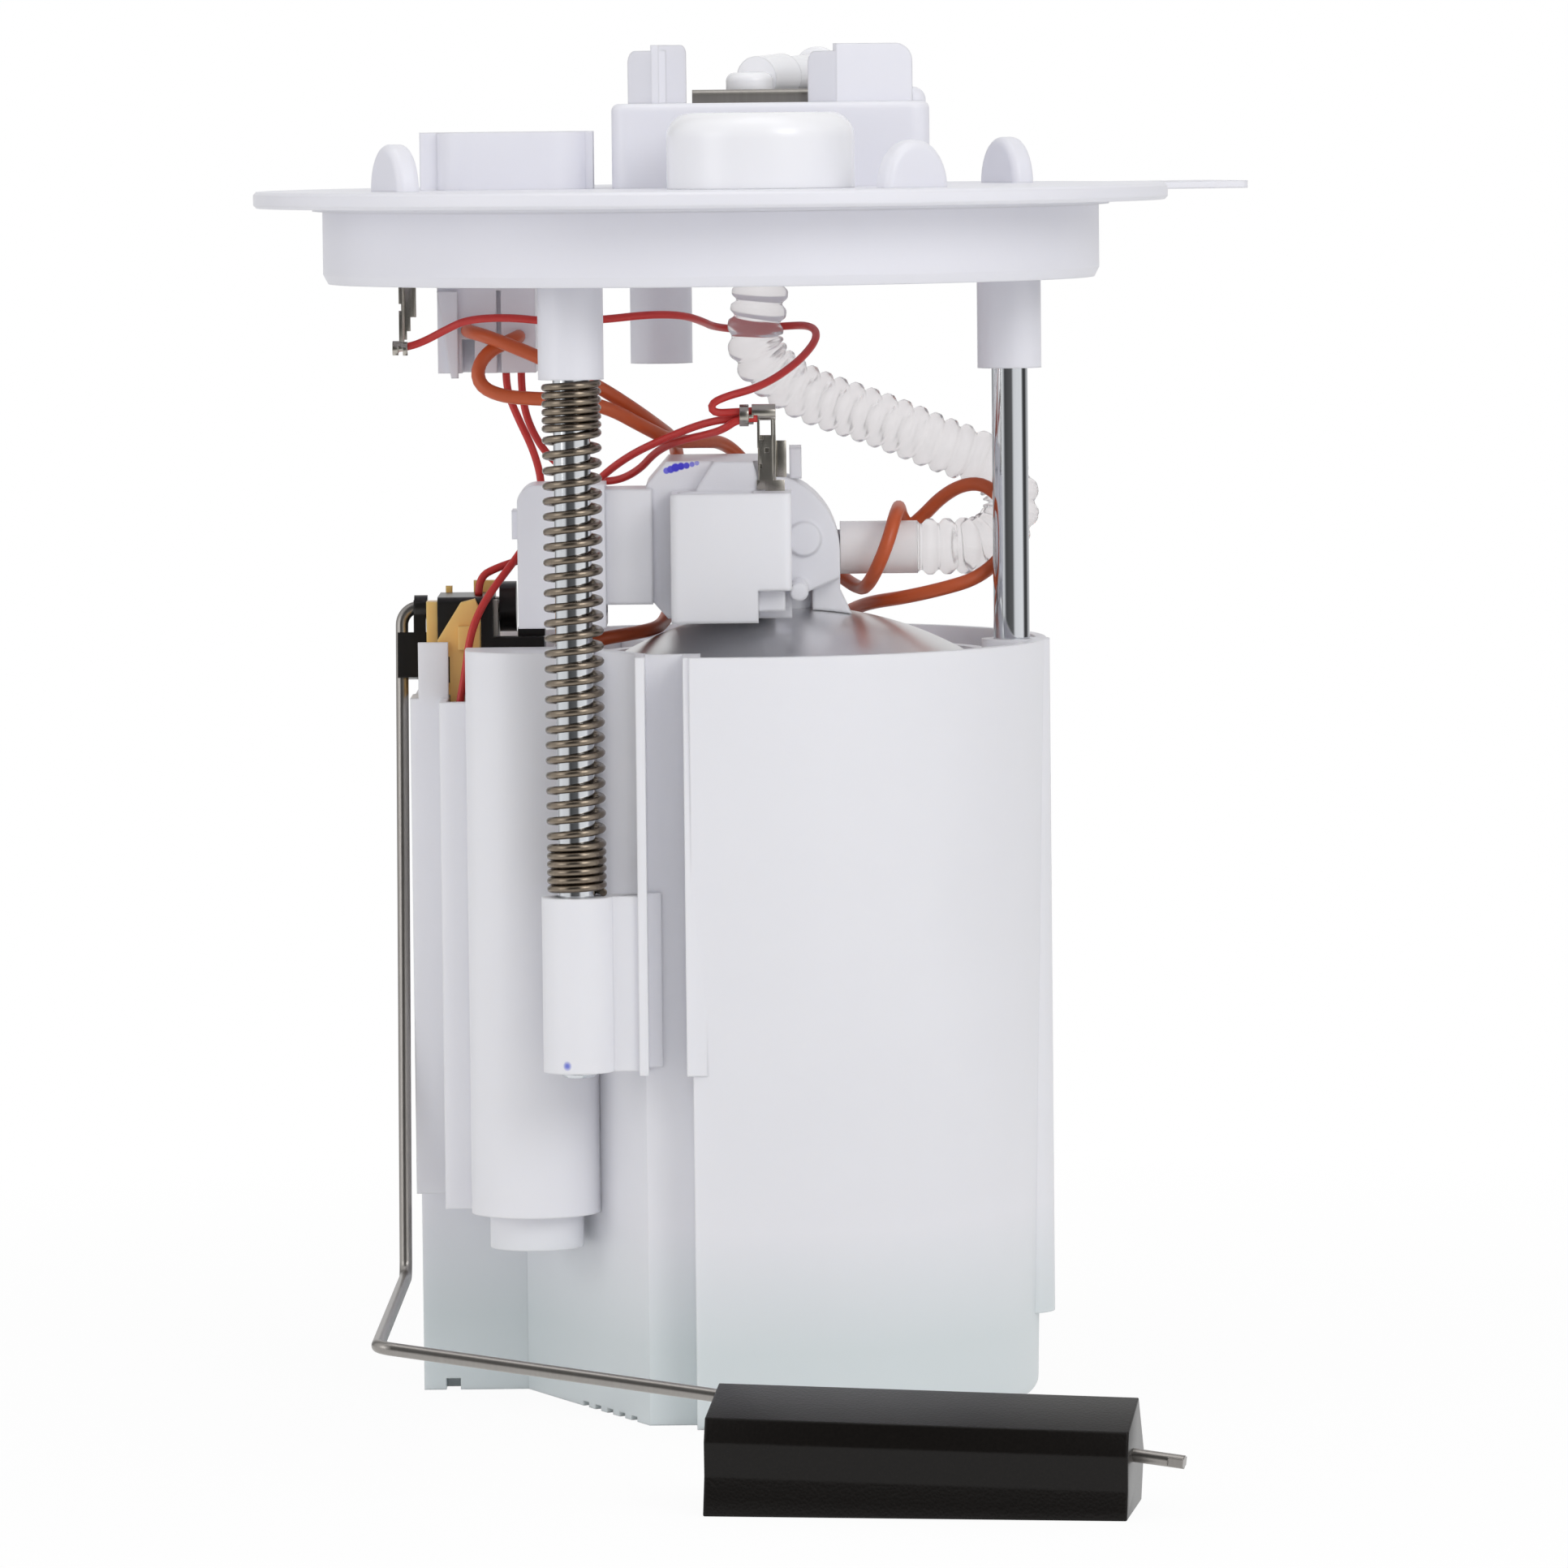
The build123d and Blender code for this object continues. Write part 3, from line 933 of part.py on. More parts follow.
def make_sender_bracket():
    """The amber bracket: a leg down into the bay, a side ear, two posts and a guide with a clip."""
    front = CARRIER_FRONT - BRACKET_THICK
    leg = (SENDER_BAY_LEFT + 0.2, SENDER_BAY_LEFT + 2.2)
    body = span(leg, (front, CARRIER_BACK + BRACKET_THICK), (BRACKET_FOOT, CARRIER_LOW))
    body += span((CARRIER_LEFT - 1.9, leg[1]), (-0.6, 4.4), (STEP_HEIGHT + 0.3, CARRIER_LOW))
    body += span((CARRIER_LEFT - 1.9, CARRIER_LEFT), (-0.6, 4.4), (STEP_HEIGHT + 0.3, BRACKET_TOP))
    behind = (CARRIER_BACK, CARRIER_BACK + BRACKET_THICK)
    body += span((CARRIER_LEFT, CARRIER_RIGHT), behind, (CARRIER_LOW, -70.0))
    body += span((-45.3, -44.2), behind, (-71.0, -63.8))
    body += span((-40.6, CARRIER_RIGHT), behind, (-71.0, -62.9))
    guide = (
        (-46.1, -74.0), (-46.1, -71.8), (-42.2, -65.6), (-39.8, -65.0), (-38.9, -67.0), (-38.9, -76.0),
        (-41.8, -78.0), (leg[1], -90.0), (leg[0], -90.0), (leg[0], -74.6),
    )
    body += front_profile(guide, front, CARRIER_FRONT)
    return body + span((-42.6, -39.0), (front - 1.2, front), (-73.4, -69.5))


def make_resistor_card():
    """The ceramic resistor card on the carrier's side, behind the wiper."""
    across, deep = (CARRIER_RIGHT, CARRIER_RIGHT + CARD_THICK), (CARRIER_FRONT + 4.0, CARRIER_BACK - 0.4)
    card = span(across, deep, (CARRIER_LOW, BRACKET_TOP))
    return card - shaft(ARM_WIRE / 2 + 1.0, CARRIER_RIGHT - 1, CARRIER_RIGHT + 2, PIVOT_Y, PIVOT_Z)


def make_wiper_hub():
    """The black hub on the end of the float arm, with the finger that carries the contact."""
    body = shaft(HUB_DIA / 2, HUB_LEFT, HUB_RIGHT, PIVOT_Y, PIVOT_Z)
    body += span((HUB_LEFT, HUB_LEFT + 1.2), (PIVOT_Y, PIVOT_Y + WIPER_REACH), (PIVOT_Z - 1.6, PIVOT_Z + 1.6))
    return body - shaft(ARM_WIRE / 2, HUB_LEFT - 1, HUB_RIGHT + 1, PIVOT_Y, PIVOT_Z)


def make_arm_clip():
    """The black clip that keys the float arm's leg to the hub's side."""
    body = shaft(2.0, -50.3, -48.1, PIVOT_Y, PIVOT_Z)
    leg = Vector(*ARM_KNEE) - Vector(ARM_X, PIVOT_Y, PIVOT_Z)
    down = leg.normalized()
    start = Vector(ARM_X, PIVOT_Y, PIVOT_Z)
    frame = Plane(origin=start, x_dir=(1, 0, 0), z_dir=down)
    arm = frame * Pos(1.75, 0, 4.4) * Box(4.9, 2.9, 7.6, align=(Align.CENTER, Align.CENTER, Align.MIN))
    wedge = Box(3.0, 6.0, 8.0, align=(Align.MIN, Align.CENTER, Align.MIN))
    taper = frame * Pos(3.5, 0, 10.0) * Rot(0, -14, 0) * wedge
    body += arm
    body += frame * Pos(3.0, 0, -1.0) * Box(2.0, 2.9, 8.0, align=(Align.CENTER, Align.CENTER, Align.MIN))
    body -= taper
    path = arm_path()
    wire = sweep(Plane(origin=path @ 0, z_dir=path % 0) * Circle(ARM_WIRE / 2 + 0.02), path=path)
    return body - wire


def make_all():
    """Every sub-part by its node name."""
    rod = ROD_DIA / 2
    top = ROD_GRIP - BOSS_DEPTH
    left_rod = chamfer(post(rod, LEFT_ROD_END, top, LEFT_ROD).edges(), 0.5)
    right_rod = chamfer(post(rod, RIGHT_ROD_END, top, RIGHT_ROD).edges(), 0.5)
    groove = RIGHT_GUIDE_END - 0.3
    right_rod -= ring(rod + 1, rod - 0.5, groove - STOP_RING_THICK, groove, RIGHT_ROD)
    parts = {
        "flange": make_flange(),
        "vent_valve_cap": make_vent_cap(),
        "outlet_clip": make_outlet_clip(),
        "outlet_nipple": make_outlet_nipple(),
        "connector_pins": Compound(children=connector_pins()),
        "inner_plug": make_inner_plug(),
        "ground_terminal": crimp_terminal(
            GROUND_X, GROUND_Y, GROUND_TOP, GROUND_END, GROUND_WIDTH, GROUND_THICK, GROUND_BARREL,
            GROUND_BARREL_ENDS),
        "left_guide_rod": left_rod,
        "right_guide_rod": right_rod,
        "stop_ring": ring(STOP_RING_DIA / 2, rod - 0.5, groove - STOP_RING_THICK, groove, RIGHT_ROD),
        "spring": make_spring(),
        "reservoir": make_reservoir(),
        "check_valve": make_check_valve(),
        "canister": make_canister(),
        "canister_base": make_canister_base(),
        "canister_ring": make_canister_ring(),
        "filter_element": make_filter_element(),
        "pump_isolator": make_isolator(),
        "strainer": make_strainer(),
        "filter_head": make_filter_head(),
        "regulator_cover": make_regulator_cover(),
        "pressure_regulator": make_regulator(),
        "hose_cuff": make_cuff(),
        "spade_terminal": crimp_terminal(
            SPADE_X, SPADE_Y, BOX_TOP - SPADE_SEAT, SPADE_TOP, SPADE_WIDTH, SPADE_THICK, SPADE_BARREL,
            SPADE_BARREL_ENDS),
        "sender_bracket": make_sender_bracket(),
        "sender_carrier": make_sender_carrier(),
        "resistor_card": make_resistor_card(),
        "wiper_hub": make_wiper_hub(),
        "arm_clip": make_arm_clip(),
        "float_arm": make_float_arm(),
        "float": make_float(),
        "fuel_hose": cord("fuel_hose", HOSE_ROUTE, HOSE_DIA),
        "ground_lead": cord("ground_lead", GROUND_LEAD_ROUTE, THIN_WIRE),
        "sender_lead": cord("sender_lead", SENDER_LEAD_ROUTE, THIN_WIRE),
        "return_lead": cord("return_lead", RETURN_LEAD_ROUTE, THIN_WIRE),
        "head_lead": cord("head_lead", HEAD_LEAD_ROUTE, THIN_WIRE),
        "pump_lead_a": cord("pump_lead_a", PUMP_LEAD_A_ROUTE, THICK_WIRE),
        "pump_lead_b": cord("pump_lead_b", PUMP_LEAD_B_ROUTE, THICK_WIRE),
    }
    parts.update(make_pump())
    return parts


def save(node, shape):
    """Writes one node, whether its shape is one solid, a compound or a list of them."""
    pieces = shape if isinstance(shape, list) else [shape]
    solids = [solid for piece in pieces for solid in piece.solids()]
    export_step(solids[0] if len(solids) == 1 else Compound(children=solids), f"parts/{node}.step")


os.makedirs("parts", exist_ok=True)
for node, shape in make_all().items():
    save(node, shape)
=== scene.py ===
"""Dresses the fuel pump module: its finishes, hose, wires, terminals, float and spring, and the studio."""
import logging
import math
from dataclasses import dataclass
from enum import Enum
from typing import Callable, Sequence

import bpy
from mathutils import Matrix, Vector


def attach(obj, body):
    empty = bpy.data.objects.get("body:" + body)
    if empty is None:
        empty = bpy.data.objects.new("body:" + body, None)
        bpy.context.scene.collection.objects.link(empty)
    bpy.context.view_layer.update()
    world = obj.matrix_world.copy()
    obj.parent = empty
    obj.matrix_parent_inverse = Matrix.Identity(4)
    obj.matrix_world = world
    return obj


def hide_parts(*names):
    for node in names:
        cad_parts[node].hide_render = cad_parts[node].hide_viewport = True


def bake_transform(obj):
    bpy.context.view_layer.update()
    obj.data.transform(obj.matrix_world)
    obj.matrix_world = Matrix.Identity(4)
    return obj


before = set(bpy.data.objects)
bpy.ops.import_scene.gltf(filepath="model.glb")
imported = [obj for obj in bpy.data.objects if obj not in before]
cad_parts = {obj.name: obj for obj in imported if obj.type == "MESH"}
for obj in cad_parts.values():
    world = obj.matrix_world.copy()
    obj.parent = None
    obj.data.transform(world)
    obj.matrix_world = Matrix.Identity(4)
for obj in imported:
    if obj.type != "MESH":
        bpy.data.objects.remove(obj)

LOG = logging.getLogger("fuel_pump_module")
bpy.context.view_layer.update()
MM = 0.001

Tree = bpy.types.NodeTree
Socket = bpy.types.NodeSocket
Colour = tuple[float, float, float, float]
Pair = tuple[float, float]
Point = tuple[float, float, float]
Patch = tuple[float, float, float, float]
Sheet = tuple[tuple[Patch, ...], float]
Roll = tuple[Pair, Pair, float, float, float]

# The scale along Z of a drawn surface's lines, as a share of their scale across.
DRAWN_PULL = 0.04
# The share of a dab of paint that covers fully.
DAB_CORE = 0.75
# How deep a finish's relief is, and how far light goes under a skin, in millimetres and by colour.
RELIEF_DEPTH = 0.1
SKIN_DEPTH = 2.0
SKIN_COLOURS = (1.0, 0.95, 0.9)
# The studio's full white, and the white of its paper floor.
WHITE = (1.0, 1.0, 1.0, 1.0)
PAPER_WHITE = (0.9, 0.9, 0.9, 1.0)
# Points for each span of a cord's line and for each ring of a hose, and their spacing in diameters on a wire.
SPAN_STEPS = 16
RING_STEPS = 12
WIRE_STEP = 0.45
# The broken edge of a stamping, as a share of its thickness, and the faces of a full roll.
BROKEN_EDGE = 0.2
ROLL_FACES = 24


def linear(hex_colour: str) -> Colour:
    """Turns an sRGB hex colour into the linear values that a shader takes.

    Args:
        hex_colour: six hex digits, such as "E9E9F0".

    Returns:
        Red, green, blue and an alpha of 1.
    """
    channels = [int(hex_colour[place:place + 2], 16) / 255 for place in (0, 2, 4)]
    values = [c / 12.92 if c <= 0.04045 else ((c + 0.055) / 1.055) ** 2.4 for c in channels]
    return values[0], values[1], values[2], 1.0


def add(tree: Tree, kind: str, settings: dict | None = None) -> bpy.types.Node:
    """Adds one node with its settings and its links.

    Args:
        tree: the node tree that takes it.
        kind: the node's type, such as "ShaderNodeMix".
        settings: a property by its name, and for an input socket, by its name or number, either its value or
            the output socket that is linked to it.

    Returns:
        The new node.
    """
    node = tree.nodes.new(kind)
    for key, value in (settings or {}).items():
        if isinstance(value, Socket):
            tree.links.new(value, node.inputs[key])
        elif isinstance(key, int) or key in node.inputs:
            node.inputs[key].default_value = value
        else:
            setattr(node, key, value)
    return node


def reckon(tree: Tree, operation: str, first: Socket, second: Socket | float) -> Socket:
    """Puts two values through an operation of a Math node."""
    return add(tree, "ShaderNodeMath", {"operation": operation, 0: first, 1: second}).outputs[0]


def remap(tree: Tree, value: Socket, start: float, end: float, low: float = 0.0, high: float = 1.0) -> Socket:
    """Turns the values from start to end into those from low to high, and stops at both."""
    limits = {"From Min": start, "From Max": end, "To Min": low, "To Max": high}
    return add(tree, "ShaderNodeMapRange", {"Value": value, **limits}).outputs[0]


def mix(tree: Tree, share: Socket, first: Socket | Colour, second: Socket | Colour) -> Socket:
    """Mixes two colours, which a Mix node takes at its inputs 6 and 7 and gives at its output 2."""
    return add(tree, "ShaderNodeMix", {"data_type": "RGBA", 0: share, 6: first, 7: second}).outputs[2]


class Body(Enum):
    """The moving body that a piece rides on."""

    FLANGE = "flange_body"
    RESERVOIR = "reservoir_body"
    FLOAT = "float_body"


class Pattern(Enum):
    """How a finish varies over its surface."""

    CLOUDY = "cloudy"
    DRAWN = "drawn"
    PORES = "pores"


@dataclass(frozen=True)
class Finish:
    """One real material with how its surface was made.

    Args:
        name: the material's name.
        colour: its sRGB hex colour.
        roughness: from a mirror at 0 to chalk at 1.
        pattern: how it varies.
        grain_mm: the size of that variation.
        contrast: how far the pattern darkens the colour.
        relief: the strength of its bump.
        metallic: 1 on a metal.
        scatter: how much light goes under the skin.
        clear: how much light passes through.
        index: its refractive index; a metal keeps Blender's own of 1.5.
        edge_mm: the radius to which its edges are worn or moulded.
        dabs: the place and radius in millimetres and the colour of each dab of marking paint.
        height_tint: the heights in millimetres between which its colour turns to another, and that colour.
    """

    name: str
    colour: str
    roughness: float = 0.4
    pattern: Pattern = Pattern.CLOUDY
    grain_mm: float = 6.0
    contrast: float = 0.03
    relief: float = 0.05
    metallic: float = 0.0
    scatter: float = 0.0
    clear: float = 0.0
    index: float = 1.5
    edge_mm: float = 0.3
    dabs: tuple[tuple[Point, float, str], ...] = ()
    height_tint: tuple[float, float, str] | None = None

    def factor(self, tree: Tree, place: Socket) -> Socket:
        """Builds the pattern.

        Args:
            tree: the material's node tree.
            place: the coordinates that the pattern reads.

        Returns:
            A grey value from 0 to 1.
        """
        scale = 1 / (self.grain_mm * MM)
        if self.pattern is Pattern.DRAWN:
            pulled = {"Scale": (scale, scale, scale * DRAWN_PULL), "Vector": place}
            lines = add(tree, "ShaderNodeMapping", pulled).outputs[0]
            return add(tree, "ShaderNodeTexNoise", {"Scale": 1.0, "Detail": 3.0, "Vector": lines}).outputs[0]
        if self.pattern is Pattern.PORES:
            cells = add(tree, "ShaderNodeTexVoronoi", {"Scale": scale, "Vector": place}).outputs["Distance"]
            return reckon(tree, "MINIMUM", cells, 1.0)
        return add(tree, "ShaderNodeTexNoise", {"Scale": scale, "Detail": 4.0, "Vector": place}).outputs[0]

    def tint(self, tree: Tree, place: Socket, colour: Socket) -> Socket:
        """Adds the dabs of paint and the tint by height.

        Args:
            tree: the material's node tree.
            place: the coordinates that they are placed by.
            colour: the plain colour.

        Returns:
            The colour with paint and the tint by height on it.
        """
        # Turns the colour towards another one between two heights; on the reservoir, greyer and greener at
        # its foot.
        if self.height_tint:
            start, end, shade = self.height_tint
            height = add(tree, "ShaderNodeSeparateXYZ", {"Vector": place}).outputs["Z"]
            colour = mix(tree, remap(tree, height, start * MM, end * MM), colour, linear(shade))
        for (x, y, z), radius, paint in self.dabs:
            spot = {"operation": "DISTANCE", 0: place, 1: (x * MM, y * MM, z * MM)}
            away = add(tree, "ShaderNodeVectorMath", spot).outputs["Value"]
            cover = remap(tree, away, radius * DAB_CORE * MM, radius * MM, 1.0, 0.0)
            colour = mix(tree, cover, colour, linear(paint))
        return colour

    def material(self) -> bpy.types.Material:
        """Builds the material once and gives it again when asked again."""
        made = bpy.data.materials.get(self.name)
        if made:
            return made
        made = bpy.data.materials.new(self.name)
        made.use_nodes = True
        tree = made.node_tree
        tree.nodes.clear()
        place = add(tree, "ShaderNodeTexCoord").outputs["Object"]
        factor = self.factor(tree, place)
        base = linear(self.colour)
        dark = tuple(channel * (1 - self.contrast) for channel in base[:3]) + (1.0,)
        colour = self.tint(tree, place, mix(tree, factor, dark, base))
        rounded = add(tree, "ShaderNodeBevel", {"samples": 4, "Radius": self.edge_mm * MM})
        relief = add(tree, "ShaderNodeBump", {
            "Strength": self.relief, "Distance": RELIEF_DEPTH * MM,
            "Height": factor, "Normal": rounded.outputs[0],
        })
        skin = add(tree, "ShaderNodeBsdfPrincipled", {
            "Base Color": colour, "Normal": relief.outputs[0],
            "Roughness": self.roughness, "Metallic": self.metallic, "IOR": self.index,
            "Subsurface Weight": self.scatter, "Subsurface Radius": SKIN_COLOURS,
            "Subsurface Scale": SKIN_DEPTH * MM, "Transmission Weight": self.clear,
        })
        add(tree, "ShaderNodeOutputMaterial", {"Surface": skin.outputs[0]})
        return made


# Acetal, injection moulded: a dense cool white with a satin skin that lets a little light in.
WHITE_ACETAL = Finish(
    "white_acetal_moulded", "ECECF3", 0.36, scatter=0.25, grain_mm=14.0, contrast=0.02, edge_mm=0.5)
# Polyethylene, injection moulded: milkier than the acetal and softer at its edges. It turns greyer and
# greener towards its foot, and a dab of blue marking paint is on the rod guide.
RESERVOIR_PE = Finish(
    "polyethylene_moulded", "F0F0F5", 0.42, scatter=0.4, grain_mm=28.0, contrast=0.05, edge_mm=0.4,
    height_tint=(-166.0, -186.0, "DAE1E3"), dabs=(((-24.6, -50.4, -138.2), 1.3, "5B6BD6"),))
# The same acetal from a polished mould: brighter and glossier.
POLISHED_ACETAL = Finish(
    "white_acetal_polished", "F8F8FC", 0.22, scatter=0.25, grain_mm=14.0, contrast=0.01, edge_mm=0.5)
# The same acetal, rounder at its edges, with a stroke of blue marking paint, as an inspector leaves it.
MARKED_ACETAL = Finish(
    "white_acetal_marked", "F3F3F8", 0.36, scatter=0.25, grain_mm=14.0, contrast=0.02, edge_mm=0.9,
    dabs=(
        ((-7.6, -17.9, -43.5), 0.6, "7D7BEC"), ((-6.9, -17.9, -43.3), 0.7, "5A54E2"),
        ((-6.1, -17.9, -43.0), 0.8, "4A42DE"), ((-5.2, -17.9, -42.8), 0.7, "4A42DE"),
        ((-4.3, -17.9, -42.7), 0.6, "5A54E2"), ((-3.4, -17.9, -42.5), 0.5, "8F8DF0"),
        ((-2.6, -17.9, -42.3), 0.45, "A9A8F4"),
    ))
# Nylon, extruded and blown into rings: clear with a milky cast. Its thin wall bends light little, so its
# index is low.
CLEAR_NYLON = Finish(
    "nylon_blown", "FEFBFC", 0.18, scatter=0.2, clear=0.85, index=1.1, grain_mm=3.0, contrast=0.01)
# The same nylon, thick and unstretched at the cuff: milky.
MILKY_NYLON = Finish("nylon_extruded", "FFFBFA", 0.3, scatter=0.5, grain_mm=4.0, contrast=0.01)
# Chromed steel bar, ground and polished: a mirror.
CHROMED_BAR = Finish(
    "chromed_bar_ground", "D5D8DC", 0.07, Pattern.DRAWN, 0.4, contrast=0.05, relief=0.01, metallic=1.0,
    edge_mm=0.15)
# Nickel-plated deep-drawn steel: a bright satin that mirrors only softly.
PLATED_STEEL = Finish(
    "nickel_plated_drawn", "EDEDEE", 0.32, grain_mm=9.0, contrast=0.06, relief=0.02, metallic=1.0)
# Spring steel wire, drawn and oiled: warm grey.
SPRING_WIRE = Finish(
    "spring_steel_drawn", "8F8375", 0.24, Pattern.DRAWN, 0.5, contrast=0.25, relief=0.02, metallic=1.0)
# Stainless wire, drawn: grey with fine lines along it.
ARM_WIRE = Finish(
    "stainless_wire_drawn", "A29E9A", 0.3, Pattern.DRAWN, 0.5, contrast=0.2, relief=0.02, metallic=1.0)
# Tin-plated brass strip, stamped: soft grey metal.
TINNED_STRIP = Finish(
    "tin_plated_stamped", "C4BFB6", 0.25, grain_mm=1.2, contrast=0.3, relief=0.03, metallic=1.0, edge_mm=0.1)
# Stainless strip, rolled: darker, brushed.
ROLLED_STRIP = Finish(
    "stainless_rolled", "A9A5A0", 0.35, Pattern.DRAWN, 0.6, contrast=0.2, relief=0.02, metallic=1.0)
# Black acetal, injection moulded: glossy on its edges.
BLACK_ACETAL = Finish("black_acetal_moulded", "1D1B1A", 0.3, grain_mm=2.0, contrast=0.3)
# Amber acetal, injection moulded: waxy.
AMBER_ACETAL = Finish("amber_acetal_moulded", "FACB7C", 0.34, scatter=0.35, grain_mm=5.0, contrast=0.06)
# Nitrile foam, moulded with a closed skin: nearly black, with fine pores.
FLOAT_FOAM = Finish(
    "nitrile_foam_skin", "14110F", 0.28, Pattern.PORES, 0.5, contrast=0.35, relief=0.15, index=1.3,
    edge_mm=0.5)
# Cross-linked polyethylene, extruded over thin wire.
RED_SLEEVE = Finish("red_insulation_extruded", "CF3430", 0.38, grain_mm=1.5, contrast=0.12)
# The same in orange over thicker wire.
ORANGE_SLEEVE = Finish("orange_insulation_extruded", "CB5B2E", 0.38, grain_mm=1.5, contrast=0.12)
# Nitrile rubber, moulded.
BLACK_RUBBER = Finish("nitrile_rubber_moulded", "1B1B1B", 0.6, grain_mm=1.0, contrast=0.2)
# Cellulose filter paper, pleated.
FILTER_PAPER = Finish("filter_paper_pleated", "D9CCA6", 0.9, grain_mm=0.6, contrast=0.15, relief=0.3)
# Ferrite, pressed and fired.
FERRITE = Finish("ferrite_fired", "37373A", 0.6, grain_mm=0.8, contrast=0.2)
# Stacked steel plates with resin over the windings.
ARMATURE_STEEL = Finish(
    "armature_stack_resin", "5B5552", 0.45, Pattern.DRAWN, 0.5, contrast=0.3, metallic=0.6)
# Alumina, fired, under the sender's track.
ALUMINA = Finish("alumina_fired", "D8D4C8", 0.5, grain_mm=0.8, contrast=0.06)

NODE_FINISHES: dict[str, Finish] = {
    "flange": WHITE_ACETAL, "vent_valve_cap": POLISHED_ACETAL, "outlet_clip": ROLLED_STRIP,
    "outlet_nipple": POLISHED_ACETAL, "connector_pins": TINNED_STRIP, "inner_plug": WHITE_ACETAL,
    "left_guide_rod": CHROMED_BAR, "right_guide_rod": CHROMED_BAR, "stop_ring": SPRING_WIRE,
    "reservoir": RESERVOIR_PE, "check_valve": BLACK_RUBBER, "canister": PLATED_STEEL,
    "canister_base": PLATED_STEEL, "canister_ring": WHITE_ACETAL, "filter_element": FILTER_PAPER,
    "pump_isolator": BLACK_RUBBER, "strainer": WHITE_ACETAL, "filter_head": MARKED_ACETAL,
    "regulator_cover": WHITE_ACETAL, "pressure_regulator": TINNED_STRIP, "hose_cuff": MILKY_NYLON,
    "sender_bracket": AMBER_ACETAL, "sender_carrier": BLACK_ACETAL, "resistor_card": ALUMINA,
    "wiper_hub": BLACK_ACETAL, "arm_clip": BLACK_ACETAL, "float_arm": ARM_WIRE, "pump_can": PLATED_STEEL,
    "pump_outlet_cap": BLACK_ACETAL, "pump_inlet_cap": BLACK_ACETAL, "pump_magnets": FERRITE,
    "pump_armature": ARMATURE_STEEL, "pump_impeller": BLACK_ACETAL,
}


def dress_nodes() -> None:
    """Gives each node that no piece replaces its finish."""
    for node, finish in NODE_FINISHES.items():
        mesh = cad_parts[node].data
        mesh.materials.clear()
        mesh.materials.append(finish.material())
        LOG.info("%s wears %s", node, finish.name)


def route_line(name: str, route: Sequence[Point], steps: int) -> list[Vector]:
    """Reads the points of a smooth line through a cord's route.

    Args:
        name: a name for the curve that is made and removed again.
        route: the route's points, in millimetres.
        steps: points for each span of the line.

    Returns:
        The line's points, in metres.
    """
    curve = bpy.data.curves.new(name, "CURVE")
    curve.dimensions = "3D"
    curve.resolution_u = steps
    spline = curve.splines.new("NURBS")
    spline.points.add(len(route) - 1)
    for point, (x, y, z) in zip(spline.points, route):
        point.co = (x * MM, y * MM, z * MM, 1.0)
    spline.order_u = 3
    spline.use_endpoint_u = True
    holder = bpy.data.objects.new(name, curve)
    bpy.context.collection.objects.link(holder)
    bpy.context.view_layer.update()
    mesh = bpy.data.meshes.new_from_object(holder)
    points = [vertex.co.copy() for vertex in mesh.vertices]
    bpy.data.objects.remove(holder)
    bpy.data.curves.remove(curve)
    bpy.data.meshes.remove(mesh)
    return points


def even_line(points: Sequence[Vector], step: float) -> list[Vector]:
    """Spreads points evenly along a line.

    Args:
        points: the line's points.
        step: the wanted spacing.

    Returns:
        Points from the first to the last, evenly spaced.
    """
    lengths = [0.0]
    for before, after in zip(points, points[1:]):
        lengths.append(lengths[-1] + (after - before).length)
    count = max(2, round(lengths[-1] / step))
    spread, place = [], 0
    for index in range(count + 1):
        target = lengths[-1] * index / count
        while place < len(points) - 2 and lengths[place + 1] < target:
            place += 1
        span = lengths[place + 1] - lengths[place]
        share = (target - lengths[place]) / span if span else 0.0
        spread.append(points[place].lerp(points[place + 1], min(1.0, share)))
    return spread


def tube(name: str, line: Sequence[Vector], radius: Callable[[float], float],
         sides: int) -> bpy.types.Object:
    """Builds a closed round tube along a line.

    Args:
        name: the piece's name.
        line: the points of its centre.
        radius: its radius at a length from the start.
        sides: how many faces go round it.

    Returns:
        The new object, with a UV map that runs round and along it in metres.
    """
    across = (line[1] - line[0]).orthogonal().normalized()
    verts, faces, run, runs = [], [], 0.0, []
    for index, point in enumerate(line):
        ahead = line[min(index + 1, len(line) - 1)] - line[max(index - 1, 0)]
        ahead.normalize()
        across = (across - ahead * across.dot(ahead)).normalized()
        other = ahead.cross(across)
        if index:
            run += (point - line[index - 1]).length
        runs.append(run)
        size = radius(run)
        for side in range(sides):
            angle = 2 * math.pi * side / sides
            verts.append(point + (across * math.cos(angle) + other * math.sin(angle)) * size)
    for index in range(len(line) - 1):
        for side in range(sides):
            after = (side + 1) % sides
            low, high = index * sides, (index + 1) * sides
            faces.append((low + side, low + after, high + after, high + side))
    faces.append(tuple(reversed(range(sides))))
    faces.append(tuple((len(line) - 1) * sides + side for side in range(sides)))
    mesh = bpy.data.meshes.new(name)
    mesh.from_pydata(verts, [], faces)
    layer = mesh.uv_layers.new(name="along")
    for loop in mesh.loops:
        index, side = divmod(loop.vertex_index, sides)
        layer.data[loop.index].uv = (side / sides, runs[index])
    for polygon in mesh.polygons:
        polygon.use_smooth = len(polygon.vertices) == 4
    made = bpy.data.objects.new(name, mesh)
    bpy.context.collection.objects.link(made)
    return made


